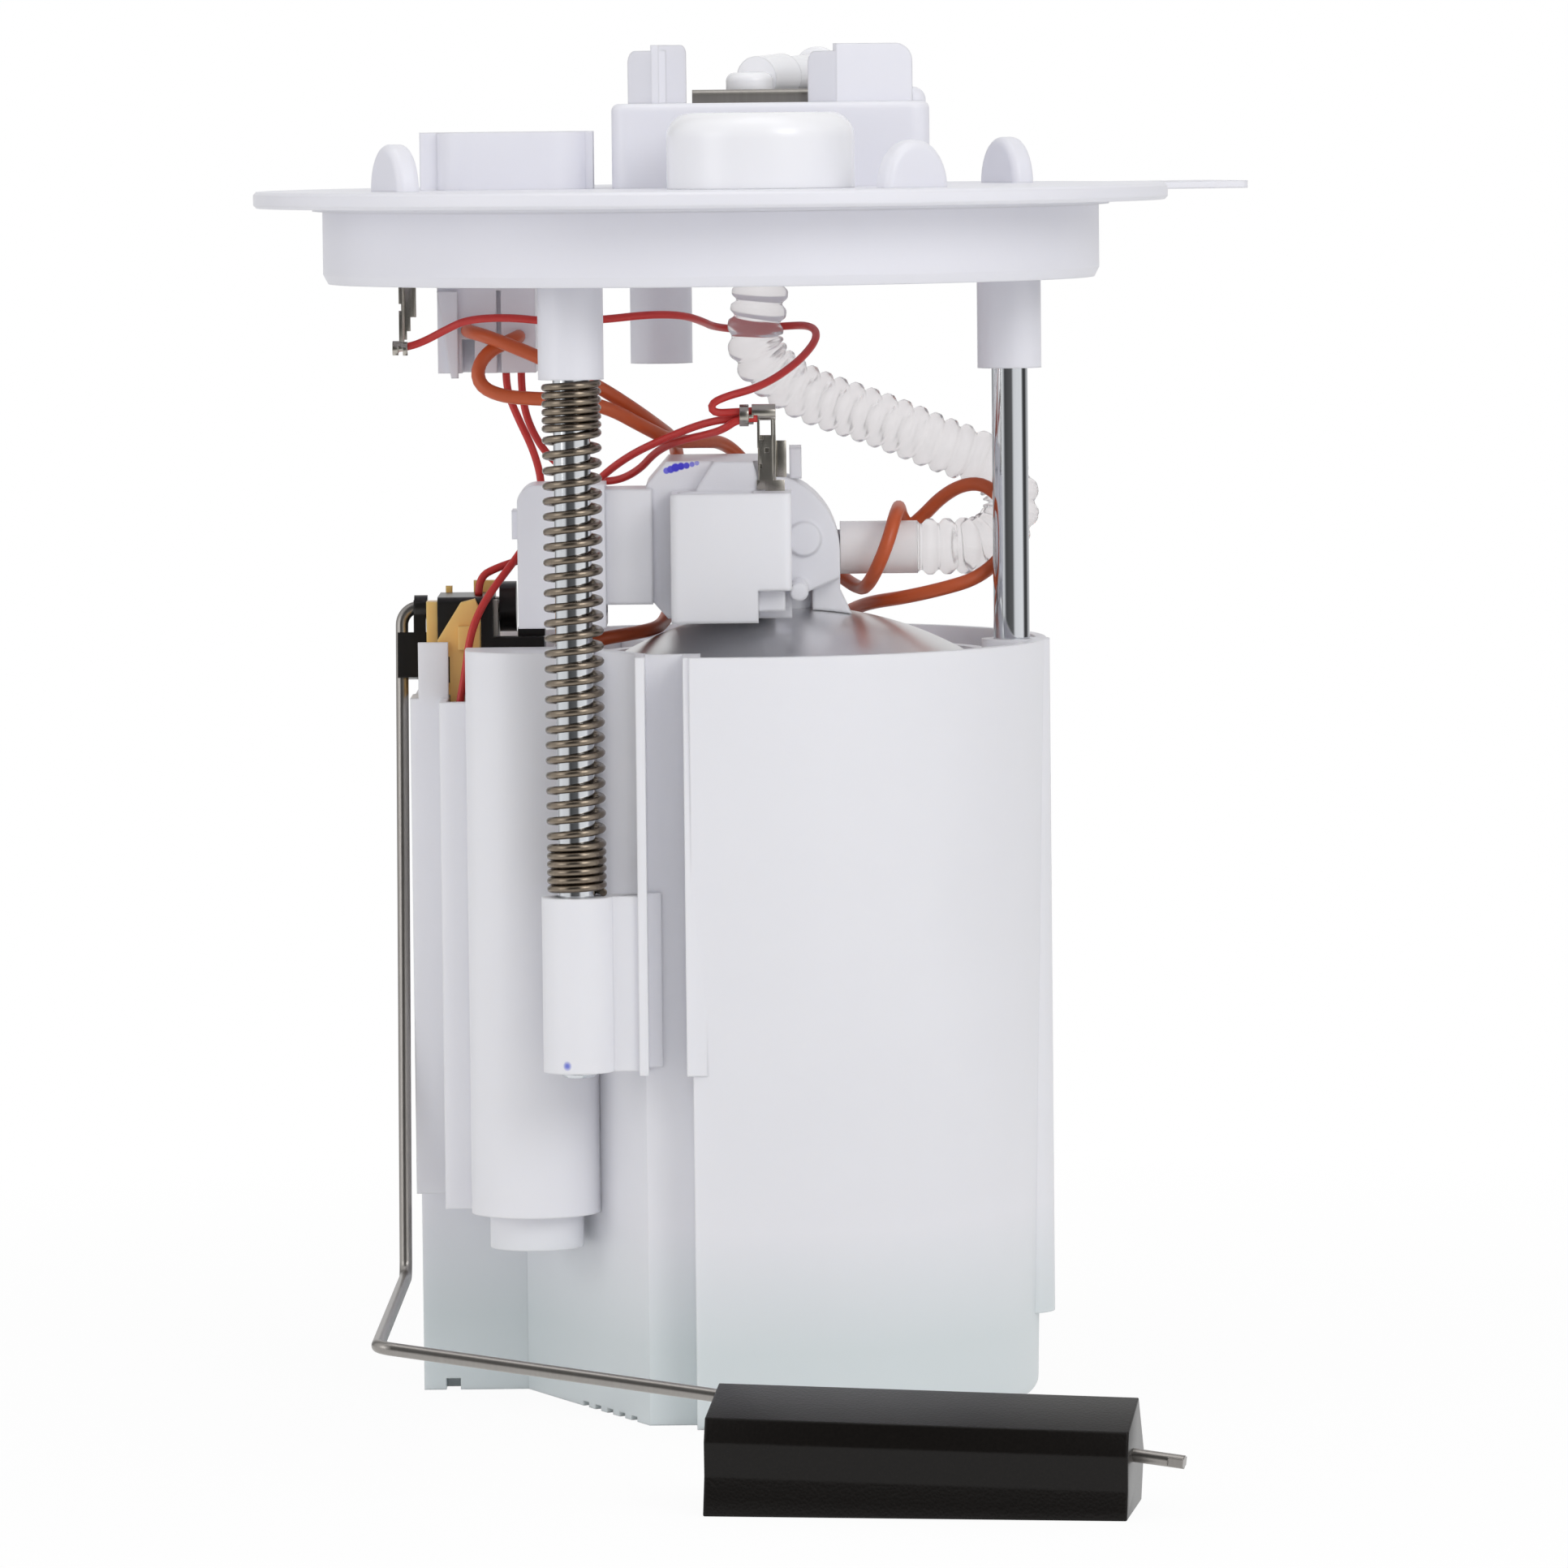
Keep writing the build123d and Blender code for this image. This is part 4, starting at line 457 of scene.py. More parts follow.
@dataclass
class Cord:
    """One wire or hose between two pieces of the module.

    Args:
        name: the piece's name.
        node: the solid that it stands for.
        route: its points in millimetres, from the flange's end to the reservoir's.
        diameter: in millimetres.
        length: its real length in millimetres.
        finish: its material.
        slot: its slot in the record; it is not used.
        stretch: the heights between which it would give as the flange slides, or None where it rides; only
            whether it is set is read, and a cord with it is left on no body, one without rides on the
            reservoir.
        stiffness: limp, medium or stiff; it is not used.
        rings: pitch and depth in millimetres of its blown rings, or None on a smooth cord.
        sides: how many faces go round it.
    """

    name: str
    node: str
    route: tuple[Point, ...]
    diameter: float
    length: float
    finish: Finish
    slot: str
    stretch: Pair | None
    stiffness: str = "medium"
    rings: Pair | None = None
    sides: int = 12

    def radius(self, run: float) -> float:
        """Gives the radius in metres at a length from the start."""
        if self.rings is None:
            return self.diameter / 2 * MM
        pitch, depth = self.rings
        wave = 0.5 + 0.5 * math.cos(2 * math.pi * run / (pitch * MM))
        swell = 1 - (1 - wave) ** 2
        return (self.diameter / 2 - depth * (1 - swell)) * MM

    def build(self) -> bpy.types.Object:
        """Builds the cord, dresses it and says what it is.

        Returns:
            The cord's object.
        """
        step = self.rings[0] / RING_STEPS if self.rings else self.diameter * WIRE_STEP
        line = even_line(route_line(self.name + "_line", self.route, SPAN_STEPS), step * MM)
        piece = tube(self.name, line, self.radius, self.sides)
        piece.data.materials.append(self.finish.material())
        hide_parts(self.node)
        if self.stretch:
            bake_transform(piece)
        else:
            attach(piece, Body.RESERVOIR.value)
        LOG.info("%s is %.1f mm long", self.name, self.length)
        return piece


# The routes follow the source's, in millimetres, with points moved where the photograph shows a bend.
HOSE_ROUTE = (
    (8.1, 0.0, -12.0), (8.1, 0.0, -16.5), (6.4, 0.5, -24.5), (13.4, 2.5, -31.3), (28.2, 6.5, -36.4),
    (38.2, 9.0, -40.8), (45.3, 10.0, -43.3), (49.7, 10.6, -47.6), (49.7, 10.2, -53.4), (45.4, 7.4, -57.4),
    (39.4, 4.6, -57.5), (33.8, 4.6, -57.5),
)
GROUND_LEAD_ROUTE = (
    (-52.2, -10.0, -23.2), (-50.0, -10.0, -23.0), (-47.2, -10.2, -22.0), (-43.8, -11.6, -20.2),
    (-40.2, -13.6, -18.5), (-33.6, -15.6, -18.1), (-26.3, -17.0, -18.9), (-18.2, -17.4, -18.7),
    (-10.2, -15.6, -17.9), (-4.6, -10.6, -18.2), (-1.6, -3.6, -19.4), (0.4, 3.8, -20.6),
    (5.6, 8.8, -21.2), (12.0, 8.6, -20.6), (16.6, 3.6, -20.4), (17.6, -3.4, -22.2), (15.0, -10.0, -25.4),
    (10.8, -15.8, -28.4), (6.8, -19.8, -30.2), (2.6, -22.0, -31.2), (-0.2, -22.6, -32.4),
    (0.2, -22.0, -34.0), (3.4, -21.5, -33.9), (7.4, -21.5, -33.7),
)
SENDER_LEAD_ROUTE = (
    (-34.3, 2.0, -27.6), (-34.3, 2.0, -30.6), (-32.4, 0.4, -35.2), (-29.9, -0.4, -40.4),
    (-28.6, 0.8, -45.4), (-28.8, 2.4, -50.2), (-30.4, 2.4, -54.8), (-33.0, 0.4, -58.6),
    (-36.2, -2.8, -62.6), (-38.8, -5.6, -66.4), (-40.6, -7.2, -71.0), (-41.4, -7.4, -77.0),
    (-42.6, -7.3, -83.0), (-43.0, -7.0, -88.0), (-43.0, -3.6, -88.0),
)
RETURN_LEAD_ROUTE = (
    (7.4, -20.8, -34.9), (3.2, -20.8, -34.9), (-1.6, -17.2, -35.8), (-7.8, -11.4, -38.4),
    (-14.0, -6.0, -41.4), (-19.4, -1.4, -45.6), (-23.8, 1.4, -51.0), (-27.2, 4.2, -56.2),
    (-31.6, 5.2, -58.8), (-36.2, 4.6, -60.2), (-39.4, 3.6, -61.8), (-39.4, 3.6, -64.8),
)
HEAD_LEAD_ROUTE = (
    (-31.9, 6.0, -27.6), (-31.9, 6.0, -32.0), (-30.4, 5.0, -37.4), (-27.2, 5.8, -42.4),
    (-22.6, 7.4, -45.6), (-17.0, 7.0, -46.4), (-12.6, 2.6, -44.4), (-9.4, -4.0, -40.7),
    (-5.4, -11.0, -38.8), (-0.6, -17.4, -37.6), (2.0, -21.8, -36.6), (4.4, -22.3, -34.9),
    (7.4, -22.3, -34.9),
)
PUMP_LEAD_A_ROUTE = (
    (-40.4, -3.6, -20.5), (-40.4, -7.6, -20.5), (-37.4, -11.4, -21.2), (-31.6, -13.2, -23.4),
    (-25.0, -13.9, -26.4), (-18.4, -12.4, -29.9), (-12.6, -6.8, -34.0), (-8.8, 1.2, -37.2),
    (-7.0, 9.4, -39.0), (-6.2, 17.0, -41.4), (-5.6, 19.6, -50.2), (-6.2, 18.4, -60.8),
    (-7.4, 15.4, -67.6), (-8.8, 8.4, -70.2), (-10.6, -0.6, -70.6), (-14.6, -6.6, -71.0),
    (-20.4, -8.4, -71.8), (-22.6, -7.6, -76.2), (-22.7, -6.4, -84.0), (-22.6, -4.8, -96.0),
    (-22.2, -3.4, -110.0), (-20.2, -2.6, -120.4), (-16.2, -2.6, -125.3), (-9.8, -2.6, -125.3),
)
PUMP_LEAD_B_ROUTE = (
    (-32.0, -3.6, -21.6), (-32.0, -6.4, -21.6), (-33.8, -8.6, -22.4), (-36.8, -9.2, -23.8),
    (-38.8, -10.0, -26.6), (-38.2, -11.2, -29.6), (-34.6, -12.6, -31.2), (-29.2, -14.2, -31.6),
    (-23.1, -15.2, -31.8), (-17.0, -13.6, -33.2), (-11.4, -8.2, -36.6), (-6.6, -1.2, -39.4),
    (-2.4, 6.6, -39.6), (1.6, 14.4, -40.0), (5.4, 19.8, -43.8), (9.8, 20.8, -50.8), (15.4, 18.4, -57.8),
    (20.8, 13.2, -62.6), (24.2, 6.4, -64.6), (25.4, -1.0, -63.6), (27.0, -6.6, -60.4),
    (28.8, -7.0, -56.0), (30.0, -4.2, -52.0), (30.6, 1.0, -50.9), (30.8, 6.0, -50.8), (31.2, 10.2, -52.6),
    (32.6, 11.6, -54.6), (35.0, 11.2, -52.6), (37.8, 9.6, -49.6), (41.2, 6.8, -47.4), (44.6, 4.2, -47.0),
    (47.4, 3.2, -49.0), (49.2, 2.7, -52.0), (49.6, 2.5, -55.6), (47.6, 1.8, -59.6), (43.4, 0.6, -62.8),
    (37.6, 0.0, -64.4), (31.4, 1.8, -65.8), (26.4, 7.8, -66.8), (23.6, 17.0, -68.2), (21.2, 26.8, -70.0),
    (18.8, 34.6, -72.6), (16.8, 36.4, -79.0), (14.0, 36.6, -88.0), (7.0, 36.4, -99.0),
    (-4.0, 32.8, -110.0), (-12.6, 23.0, -119.0), (-17.0, 12.0, -123.8), (-17.4, 5.6, -125.2),
    (-14.2, 2.6, -125.3), (-9.8, 2.6, -125.3),
)
RED_WIRE = 1.3
ORANGE_WIRE = 2.3

CORDS = (
    Cord("corrugated_hose", "fuel_hose", HOSE_ROUTE, 9.4, 86.5, CLEAR_NYLON, "clear_nylon",
         (-50.0, -16.0), rings=(2.9, 0.85), sides=28),
    Cord("ground_wire", "ground_lead", GROUND_LEAD_ROUTE, RED_WIRE, 128.0, RED_SLEEVE, "red_insulation",
         (-33.4, -22.0), "limp"),
    Cord("sender_wire", "sender_lead", SENDER_LEAD_ROUTE, RED_WIRE, 70.5, RED_SLEEVE, "red_insulation",
         (-62.0, -28.0), "limp"),
    Cord("return_wire", "return_lead", RETURN_LEAD_ROUTE, RED_WIRE, 66.5, RED_SLEEVE, "red_insulation",
         None, "limp"),
    Cord("head_wire", "head_lead", HEAD_LEAD_ROUTE, RED_WIRE, 68.9, RED_SLEEVE, "red_insulation",
         (-43.0, -28.0), "limp"),
    Cord("pump_wire_a", "pump_lead_a", PUMP_LEAD_A_ROUTE, ORANGE_WIRE, 182.0, ORANGE_SLEEVE,
         "orange_insulation", (-62.0, -21.0)),
    Cord("pump_wire_b", "pump_lead_b", PUMP_LEAD_B_ROUTE, ORANGE_WIRE, 322.0, ORANGE_SLEEVE,
         "orange_insulation", (-44.0, -22.0)),
)


def pick(piece: bpy.types.Object) -> None:
    """Selects one object alone and makes it the active one."""
    bpy.ops.object.select_all(action="DESELECT")
    piece.select_set(True)
    bpy.context.view_layer.objects.active = piece


def join(parts: Sequence[bpy.types.Object]) -> bpy.types.Object:
    """Joins objects into the first of them and gives that one back."""
    pick(parts[0])
    for part in parts[1:]:
        part.select_set(True)
    bpy.ops.object.join()
    return parts[0]


def cut_away(piece: bpy.types.Object, unwanted: Callable[[Vector], bool]) -> None:
    """Deletes faces from the active object.

    Args:
        piece: the active object.
        unwanted: True for the middle of a face that goes.
    """
    bpy.ops.object.mode_set(mode="EDIT")
    bpy.ops.mesh.select_mode(type="FACE")
    bpy.ops.mesh.select_all(action="DESELECT")
    bpy.ops.object.mode_set(mode="OBJECT")
    for face in piece.data.polygons:
        face.select = unwanted(face.center)
    bpy.ops.object.mode_set(mode="EDIT")
    bpy.ops.mesh.delete(type="FACE")
    bpy.ops.object.mode_set(mode="OBJECT")


def finish_stamping(piece: bpy.types.Object, thick: float) -> bpy.types.Object:
    """Gives a cut sheet its thickness and breaks its edges.

    Args:
        piece: the sheet, which is the active object.
        thick: its thickness in millimetres.

    Returns:
        The same object, now a closed shape.
    """
    wall = piece.modifiers.new("wall", "SOLIDIFY")
    wall.thickness = thick * MM
    wall.offset = 0.0
    wall.use_even_offset = True
    bpy.ops.object.modifier_apply(modifier="wall")
    edges = piece.modifiers.new("edges", "BEVEL")
    edges.width = thick * BROKEN_EDGE * MM
    edges.segments = 2
    bpy.ops.object.modifier_apply(modifier="edges")
    bpy.ops.object.shade_smooth_by_angle(angle=math.radians(35))
    return piece


def cut_sheet(name: str, patches: Sequence[Patch], level: float, thick: float,
              upright: bool = False) -> bpy.types.Object:
    """Cuts a flat sheet of metal out of a plane.

    Args:
        name: the sheet's name.
        patches: the rectangles that are left, each as side, side, height, height in millimetres.
        level: how far back it stands, or, when upright, how far to the right.
        thick: its thickness in millimetres.
        upright: True where it faces sideways, so that its sides are measured in depth.

    Returns:
        The sheet's object.
    """
    sides = sorted({side for patch in patches for side in patch[:2]})
    heights = sorted({height for patch in patches for height in patch[2:]})
    across = Vector((0, 1, 0)) if upright else Vector((1, 0, 0))
    back = Vector((1, 0, 0)) if upright else Vector((0, 1, 0))
    middle = across * (sides[0] + sides[-1]) / 2 + Vector((0, 0, (heights[0] + heights[-1]) / 2))
    bpy.ops.object.select_all(action="DESELECT")
    bpy.ops.mesh.primitive_plane_add(size=1.0, location=(middle + back * level) * MM,
                                     rotation=(math.pi / 2, 0, math.pi / 2 if upright else 0))
    piece = bpy.context.object
    piece.name = name
    piece.scale = ((sides[-1] - sides[0]) * MM, (heights[-1] - heights[0]) * MM, 1)
    bpy.ops.object.transform_apply(location=True, rotation=True, scale=True)
    bpy.ops.object.mode_set(mode="EDIT")
    for side in sides[1:-1]:
        bpy.ops.mesh.select_all(action="SELECT")
        bpy.ops.mesh.bisect(plane_co=(across * side + back * level) * MM, plane_no=across)
    for height in heights[1:-1]:
        bpy.ops.mesh.select_all(action="SELECT")
        bpy.ops.mesh.bisect(plane_co=(0, 0, height * MM), plane_no=(0, 0, 1))
    bpy.ops.object.mode_set(mode="OBJECT")

    def outside(place: Vector) -> bool:
        """Tells whether a face's middle lies in no patch."""
        side, height = place.dot(across) / MM, place.z / MM
        return not any(a < side < b and c < height < d for a, b, c, d in patches)

    cut_away(piece, outside)
    return finish_stamping(piece, thick)


def crimp(name: str, centre: Pair, ends: Pair, radius: float, open_at: float, gap: float,
          thick: float) -> bpy.types.Object:
    """Rolls a crimp round a wire that runs along X.

    Args:
        name: the crimp's name.
        centre: its axis in Y and Z, in millimetres.
        ends: its ends in X.
        radius: its radius.
        open_at: the direction of its opening in degrees, from +Y towards +Z.
        gap: the opening's width in degrees.
        thick: the sheet's thickness.

    Returns:
        The crimp's object.
    """
    bpy.ops.object.select_all(action="DESELECT")
    bpy.ops.mesh.primitive_cylinder_add(
        vertices=ROLL_FACES, radius=radius * MM, depth=(ends[1] - ends[0]) * MM, end_fill_type="NOTHING",
        rotation=(0, math.pi / 2, 0), location=((ends[0] + ends[1]) / 2 * MM, centre[0] * MM, centre[1] * MM))
    piece = bpy.context.object
    piece.name = name
    bpy.ops.object.transform_apply(location=True, rotation=True)

    def in_gap(place: Vector) -> bool:
        """Tells whether a face's middle lies in the opening."""
        angle = math.degrees(math.atan2(place.z - centre[1] * MM, place.y - centre[0] * MM))
        return abs((angle - open_at + 180) % 360 - 180) < gap / 2

    cut_away(piece, in_gap)
    return finish_stamping(piece, thick)


@dataclass
class StampedTerminal:
    """A terminal folded from tin-plated strip.

    Args:
        name: the piece's name.
        node: the solid that it stands for.
        body: the body that it rides on.
        fronts: sheets that face the front, each with its patches and its depth.
        walls: sheets that face sideways, each with its patches and its place in X.
        crimps: each crimp's centre, ends, radius, opening and gap.
        thick: the strip's thickness in millimetres.
    """

    name: str
    node: str
    body: Body
    fronts: tuple[Sheet, ...]
    walls: tuple[Sheet, ...]
    crimps: tuple[Roll, ...]
    thick: float = 0.35

    def build(self) -> bpy.types.Object:
        """Cuts and rolls its parts and joins them.

        Returns:
            The terminal's object.
        """
        parts = [cut_sheet(self.name, patches, level, self.thick) for patches, level in self.fronts]
        parts += [cut_sheet("wall", patches, level, self.thick, True) for patches, level in self.walls]
        parts += [crimp("crimp", *values, self.thick) for values in self.crimps]
        piece = join(parts)
        piece.data.materials.append(TINNED_STRIP.material())
        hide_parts(self.node)
        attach(piece, self.body.value)
        LOG.info("%s has %d faces", self.name, len(piece.data.polygons))
        return piece


TERMINALS = (
    StampedTerminal(
        "head_spade", "spade_terminal", Body.RESERVOIR,
        fronts=(
            # The tongue in the housing, the wide foot, and the receptacle with its two bands of windows.
            (((8.6, 11.8, -51.6, -46.6), (7.2, 11.7, -46.6, -45.0), (7.6, 10.0, -45.0, -43.1),
              (8.1, 10.0, -43.1, -42.4), (7.6, 10.0, -42.4, -40.5), (7.6, 8.6, -40.5, -39.8),
              (9.2, 10.0, -40.5, -39.8), (7.6, 10.0, -39.8, -38.4), (8.3, 10.0, -38.4, -37.7),
              (7.35, 7.8, -39.8, -33.4), (9.6, 10.0, -37.7, -33.4)), -22.0),
            (((7.6, 10.4, -45.0, -37.7),), -20.95),
            (((10.4, 12.1, -44.6, -38.6),), -20.95),
        ),
        walls=((((-22.0, -20.95, -45.0, -33.6),), 10.2), (((-22.0, -20.95, -45.0, -38.4),), 7.6)),
        crimps=(
            ((-21.5, -34.3), (4.5, 6.0), 1.75, 100.0, 70.0),
            ((-21.4, -33.9), (6.5, 10.4), 1.2, 80.0, 50.0),
            ((-21.4, -34.3), (5.8, 6.8), 1.45, 90.0, 190.0),
        ),
    ),
    StampedTerminal(
        "ground_strip", "ground_terminal", Body.FLANGE,
        fronts=(
            (((-51.5, -50.8, -15.9, -0.6), (-51.1, -50.8, -17.0, -15.9), (-51.5, -50.8, -22.6, -17.0)),
             -10.4),
            (((-50.8, -48.7, -18.1, -0.6), (-50.8, -49.6, -20.4, -18.1), (-50.8, -50.2, -21.8, -20.4)),
             -9.6),
        ),
        walls=((((-10.4, -9.6, -22.4, -0.6),), -50.8), (((-10.6, -9.6, -18.1, -0.6),), -48.8)),
        crimps=(
            ((-10.0, -23.2), (-52.6, -51.6), 1.05, -80.0, 60.0),
            ((-10.0, -23.1), (-51.7, -50.8), 0.95, -70.0, 170.0),
            ((-10.0, -23.3), (-50.9, -50.1), 1.0, -60.0, 80.0),
        ),
    ),
)


@dataclass
class FoamFloat:
    """The foam float, threaded slantwise on the arm's wire.

    Args:
        corner: the wire's entry in its left end, in millimetres.
        run: from its left end to its right end.
        front: the direction of its front.
        length: its length in millimetres.
        section: its outline from the wire's entry, each point towards the front and up.
        notch: the size of the small notch in the front of each end: along, deep and high.
        notch_place: the middle of that notch, towards the front and up.
        rounding: the radius of its edges.
        sharpest: the least angle in degrees of an edge that is rounded.
        lowest: the height in millimetres that it stays above.
    """

    corner: Point = (0.0, -120.6, -181.9)
    run: Point = (65.0, -9.5, -1.6)
    front: Point = (0.0, -1.0, -0.08)
    length: float = 65.0
    section: tuple[Pair, ...] = (
        (-0.8, 1.9), (13.4, -0.4), (14.6, -4.0), (14.0, -9.4), (15.2, -15.4), (-6.0, -15.4), (-9.0, -8.0),
    )
    notch: Point = (4.0, 5.0, 3.2)
    notch_place: Pair = (14.0, -10.8)
    rounding: float = 0.7
    sharpest: float = 14.0
    lowest: float = -198.4

    def axes(self) -> Matrix:
        """Gives the float's own axes: along it, towards its front, and up."""
        along = Vector(self.run).normalized()
        ahead = Vector(self.front)
        ahead = (ahead - along * ahead.dot(along)).normalized()
        turn = Matrix((along, ahead, ahead.cross(along))).transposed().to_4x4()
        return Matrix.Translation(Vector(self.corner) * MM) @ turn

    def cut_notch(self, piece: bpy.types.Object, place: float) -> None:
        """Cuts the notch of one end.

        Args:
            piece: the float.
            place: how far along the float that end is, in millimetres.
        """
        bpy.ops.object.select_all(action="DESELECT")
        bpy.ops.mesh.primitive_cube_add(size=1.0)
        cutter = bpy.context.object
        middle = Matrix.Translation(Vector((place, *self.notch_place)) * MM)
        cutter.matrix_world = self.axes() @ middle @ Matrix.Diagonal((Vector(self.notch) * MM).to_4d())
        bpy.ops.object.transform_apply(location=True, rotation=True, scale=True)
        pick(piece)
        cut = piece.modifiers.new("notch", "BOOLEAN")
        cut.operation = "DIFFERENCE"
        cut.object = cutter
        bpy.ops.object.modifier_apply(modifier="notch")
        bpy.data.objects.remove(cutter)

    def build(self) -> bpy.types.Object:
        """Draws the section, extrudes it, cuts the notches and rounds the edges.

        Returns:
            The float's object.
        """
        axes = self.axes()
        bpy.ops.object.select_all(action="DESELECT")
        bpy.ops.mesh.primitive_circle_add(vertices=len(self.section), radius=0.01, fill_type="NGON")
        piece = bpy.context.object
        piece.name = "foam_float"
        for vertex, (ahead, up) in zip(piece.data.vertices, self.section):
            vertex.co = axes @ (Vector((0, ahead, up)) * MM)
        bpy.ops.object.mode_set(mode="EDIT")
        bpy.ops.mesh.select_mode(type="FACE")
        bpy.ops.mesh.select_all(action="SELECT")
        bpy.ops.mesh.extrude_region_move(
            TRANSFORM_OT_translate={"value": axes.to_3x3() @ Vector((self.length * MM, 0, 0))})
        bpy.ops.mesh.select_all(action="SELECT")
        bpy.ops.mesh.bisect(plane_co=(0, 0, self.lowest * MM), plane_no=(0, 0, -1), use_fill=True,
                            clear_outer=True)
        bpy.ops.mesh.select_all(action="SELECT")
        bpy.ops.mesh.normals_make_consistent(inside=False)
        bpy.ops.object.mode_set(mode="OBJECT")
        for place in (0.0, self.length):
            self.cut_notch(piece, place)
        edges = piece.modifiers.new("edges", "BEVEL")
        edges.width = self.rounding * MM
        edges.segments = 3
        edges.limit_method = "ANGLE"
        edges.angle_limit = math.radians(self.sharpest)
        bpy.ops.object.modifier_apply(modifier="edges")
        bpy.ops.object.shade_smooth_by_angle(angle=math.radians(30))
        piece.data.materials.append(FLOAT_FOAM.material())
        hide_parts("float")
        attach(piece, Body.FLOAT.value)
        LOG.info("foam_float has %d faces", len(piece.data.polygons))
        return piece


@dataclass
class CoilSpring:
    """The compression spring round the left guide rod.

    Args:
        centre: its axis in X and Y, in millimetres.
        low: its lower end, on the reservoir's guide.
        high: its upper end, on the flange's boss.
        outer: its outer diameter.
        wire: its wire's diameter.
        close_turns: the turns at each end that all but touch.
        close_rise: how far such a turn climbs, in diameters of the wire.
        open_turns: the turns between.
        steps: faces for each turn.
        sides: faces round the wire.
    """

    centre: Pair = (-22.5, -44.0)
    low: float = -111.2
    high: float = -27.6
    outer: float = 9.7
    wire: float = 1.25
    close_turns: int = 6
    close_rise: float = 1.06
    open_turns: int = 27
    steps: int = 24
    sides: int = 10

    def coil(self, name: str, height: float, turns: int, rise: float) -> bpy.types.Object:
        """Winds a run of turns from a circle of the wire's section.

        Args:
            name: the run's name.
            height: where the wire's centre starts, in millimetres.
            turns: how many turns.
            rise: how far each turn climbs, in millimetres.

        Returns:
            The run, as a mesh.
        """
        bpy.ops.object.select_all(action="DESELECT")
        bpy.ops.mesh.primitive_circle_add(vertices=self.sides, radius=self.wire / 2 * MM, fill_type="NOTHING",
                                          location=(0, 0, 0), rotation=(math.pi / 2, 0, 0))
        run = bpy.context.object
        run.name = name
        bpy.ops.object.transform_apply(rotation=True)
        bpy.ops.object.mode_set(mode="EDIT")
        bpy.ops.transform.translate(value=((self.outer - self.wire) / 2 * MM, 0, 0))
        bpy.ops.object.mode_set(mode="OBJECT")
        winding = run.modifiers.new("winding", "SCREW")
        winding.axis = "Z"
        winding.iterations = turns
        winding.screw_offset = rise * MM
        winding.steps = winding.render_steps = self.steps
        winding.use_merge_vertices = False
        bpy.ops.object.modifier_apply(modifier="winding")
        run.location = (self.centre[0] * MM, self.centre[1] * MM, height * MM)
        bpy.ops.object.transform_apply(location=True)
        return run

    def build(self) -> bpy.types.Object:
        """Winds the close and open turns and joins them.

        Returns:
            The spring's object.
        """
        close = self.wire * self.close_rise
        climb = self.close_turns * close
        first = self.low + self.wire / 2
        rise = (self.high - self.low - self.wire - 2 * climb) / self.open_turns
        piece = join((
            self.coil("coil_spring", first, self.close_turns, close),
            self.coil("open_turns", first + climb, self.open_turns, rise),
            self.coil("upper_turns", self.high - self.wire / 2 - climb, self.close_turns, close),
        ))
        bpy.ops.object.mode_set(mode="EDIT")
        bpy.ops.mesh.select_all(action="SELECT")
        bpy.ops.mesh.remove_doubles(threshold=0.01 * MM)
        bpy.ops.mesh.select_mode(type="VERT")
        bpy.ops.mesh.select_all(action="DESELECT")
        bpy.ops.mesh.select_non_manifold()
        bpy.ops.mesh.edge_face_add()
        bpy.ops.mesh.select_all(action="SELECT")
        bpy.ops.mesh.normals_make_consistent(inside=False)
        bpy.ops.object.mode_set(mode="OBJECT")
        bpy.ops.object.shade_smooth_by_angle(angle=math.radians(50))
        piece.data.materials.append(SPRING_WIRE.material())
        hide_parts("spring")
        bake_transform(piece)
        LOG.info("coil_spring has %d turns", 2 * self.close_turns + self.open_turns)
        return piece


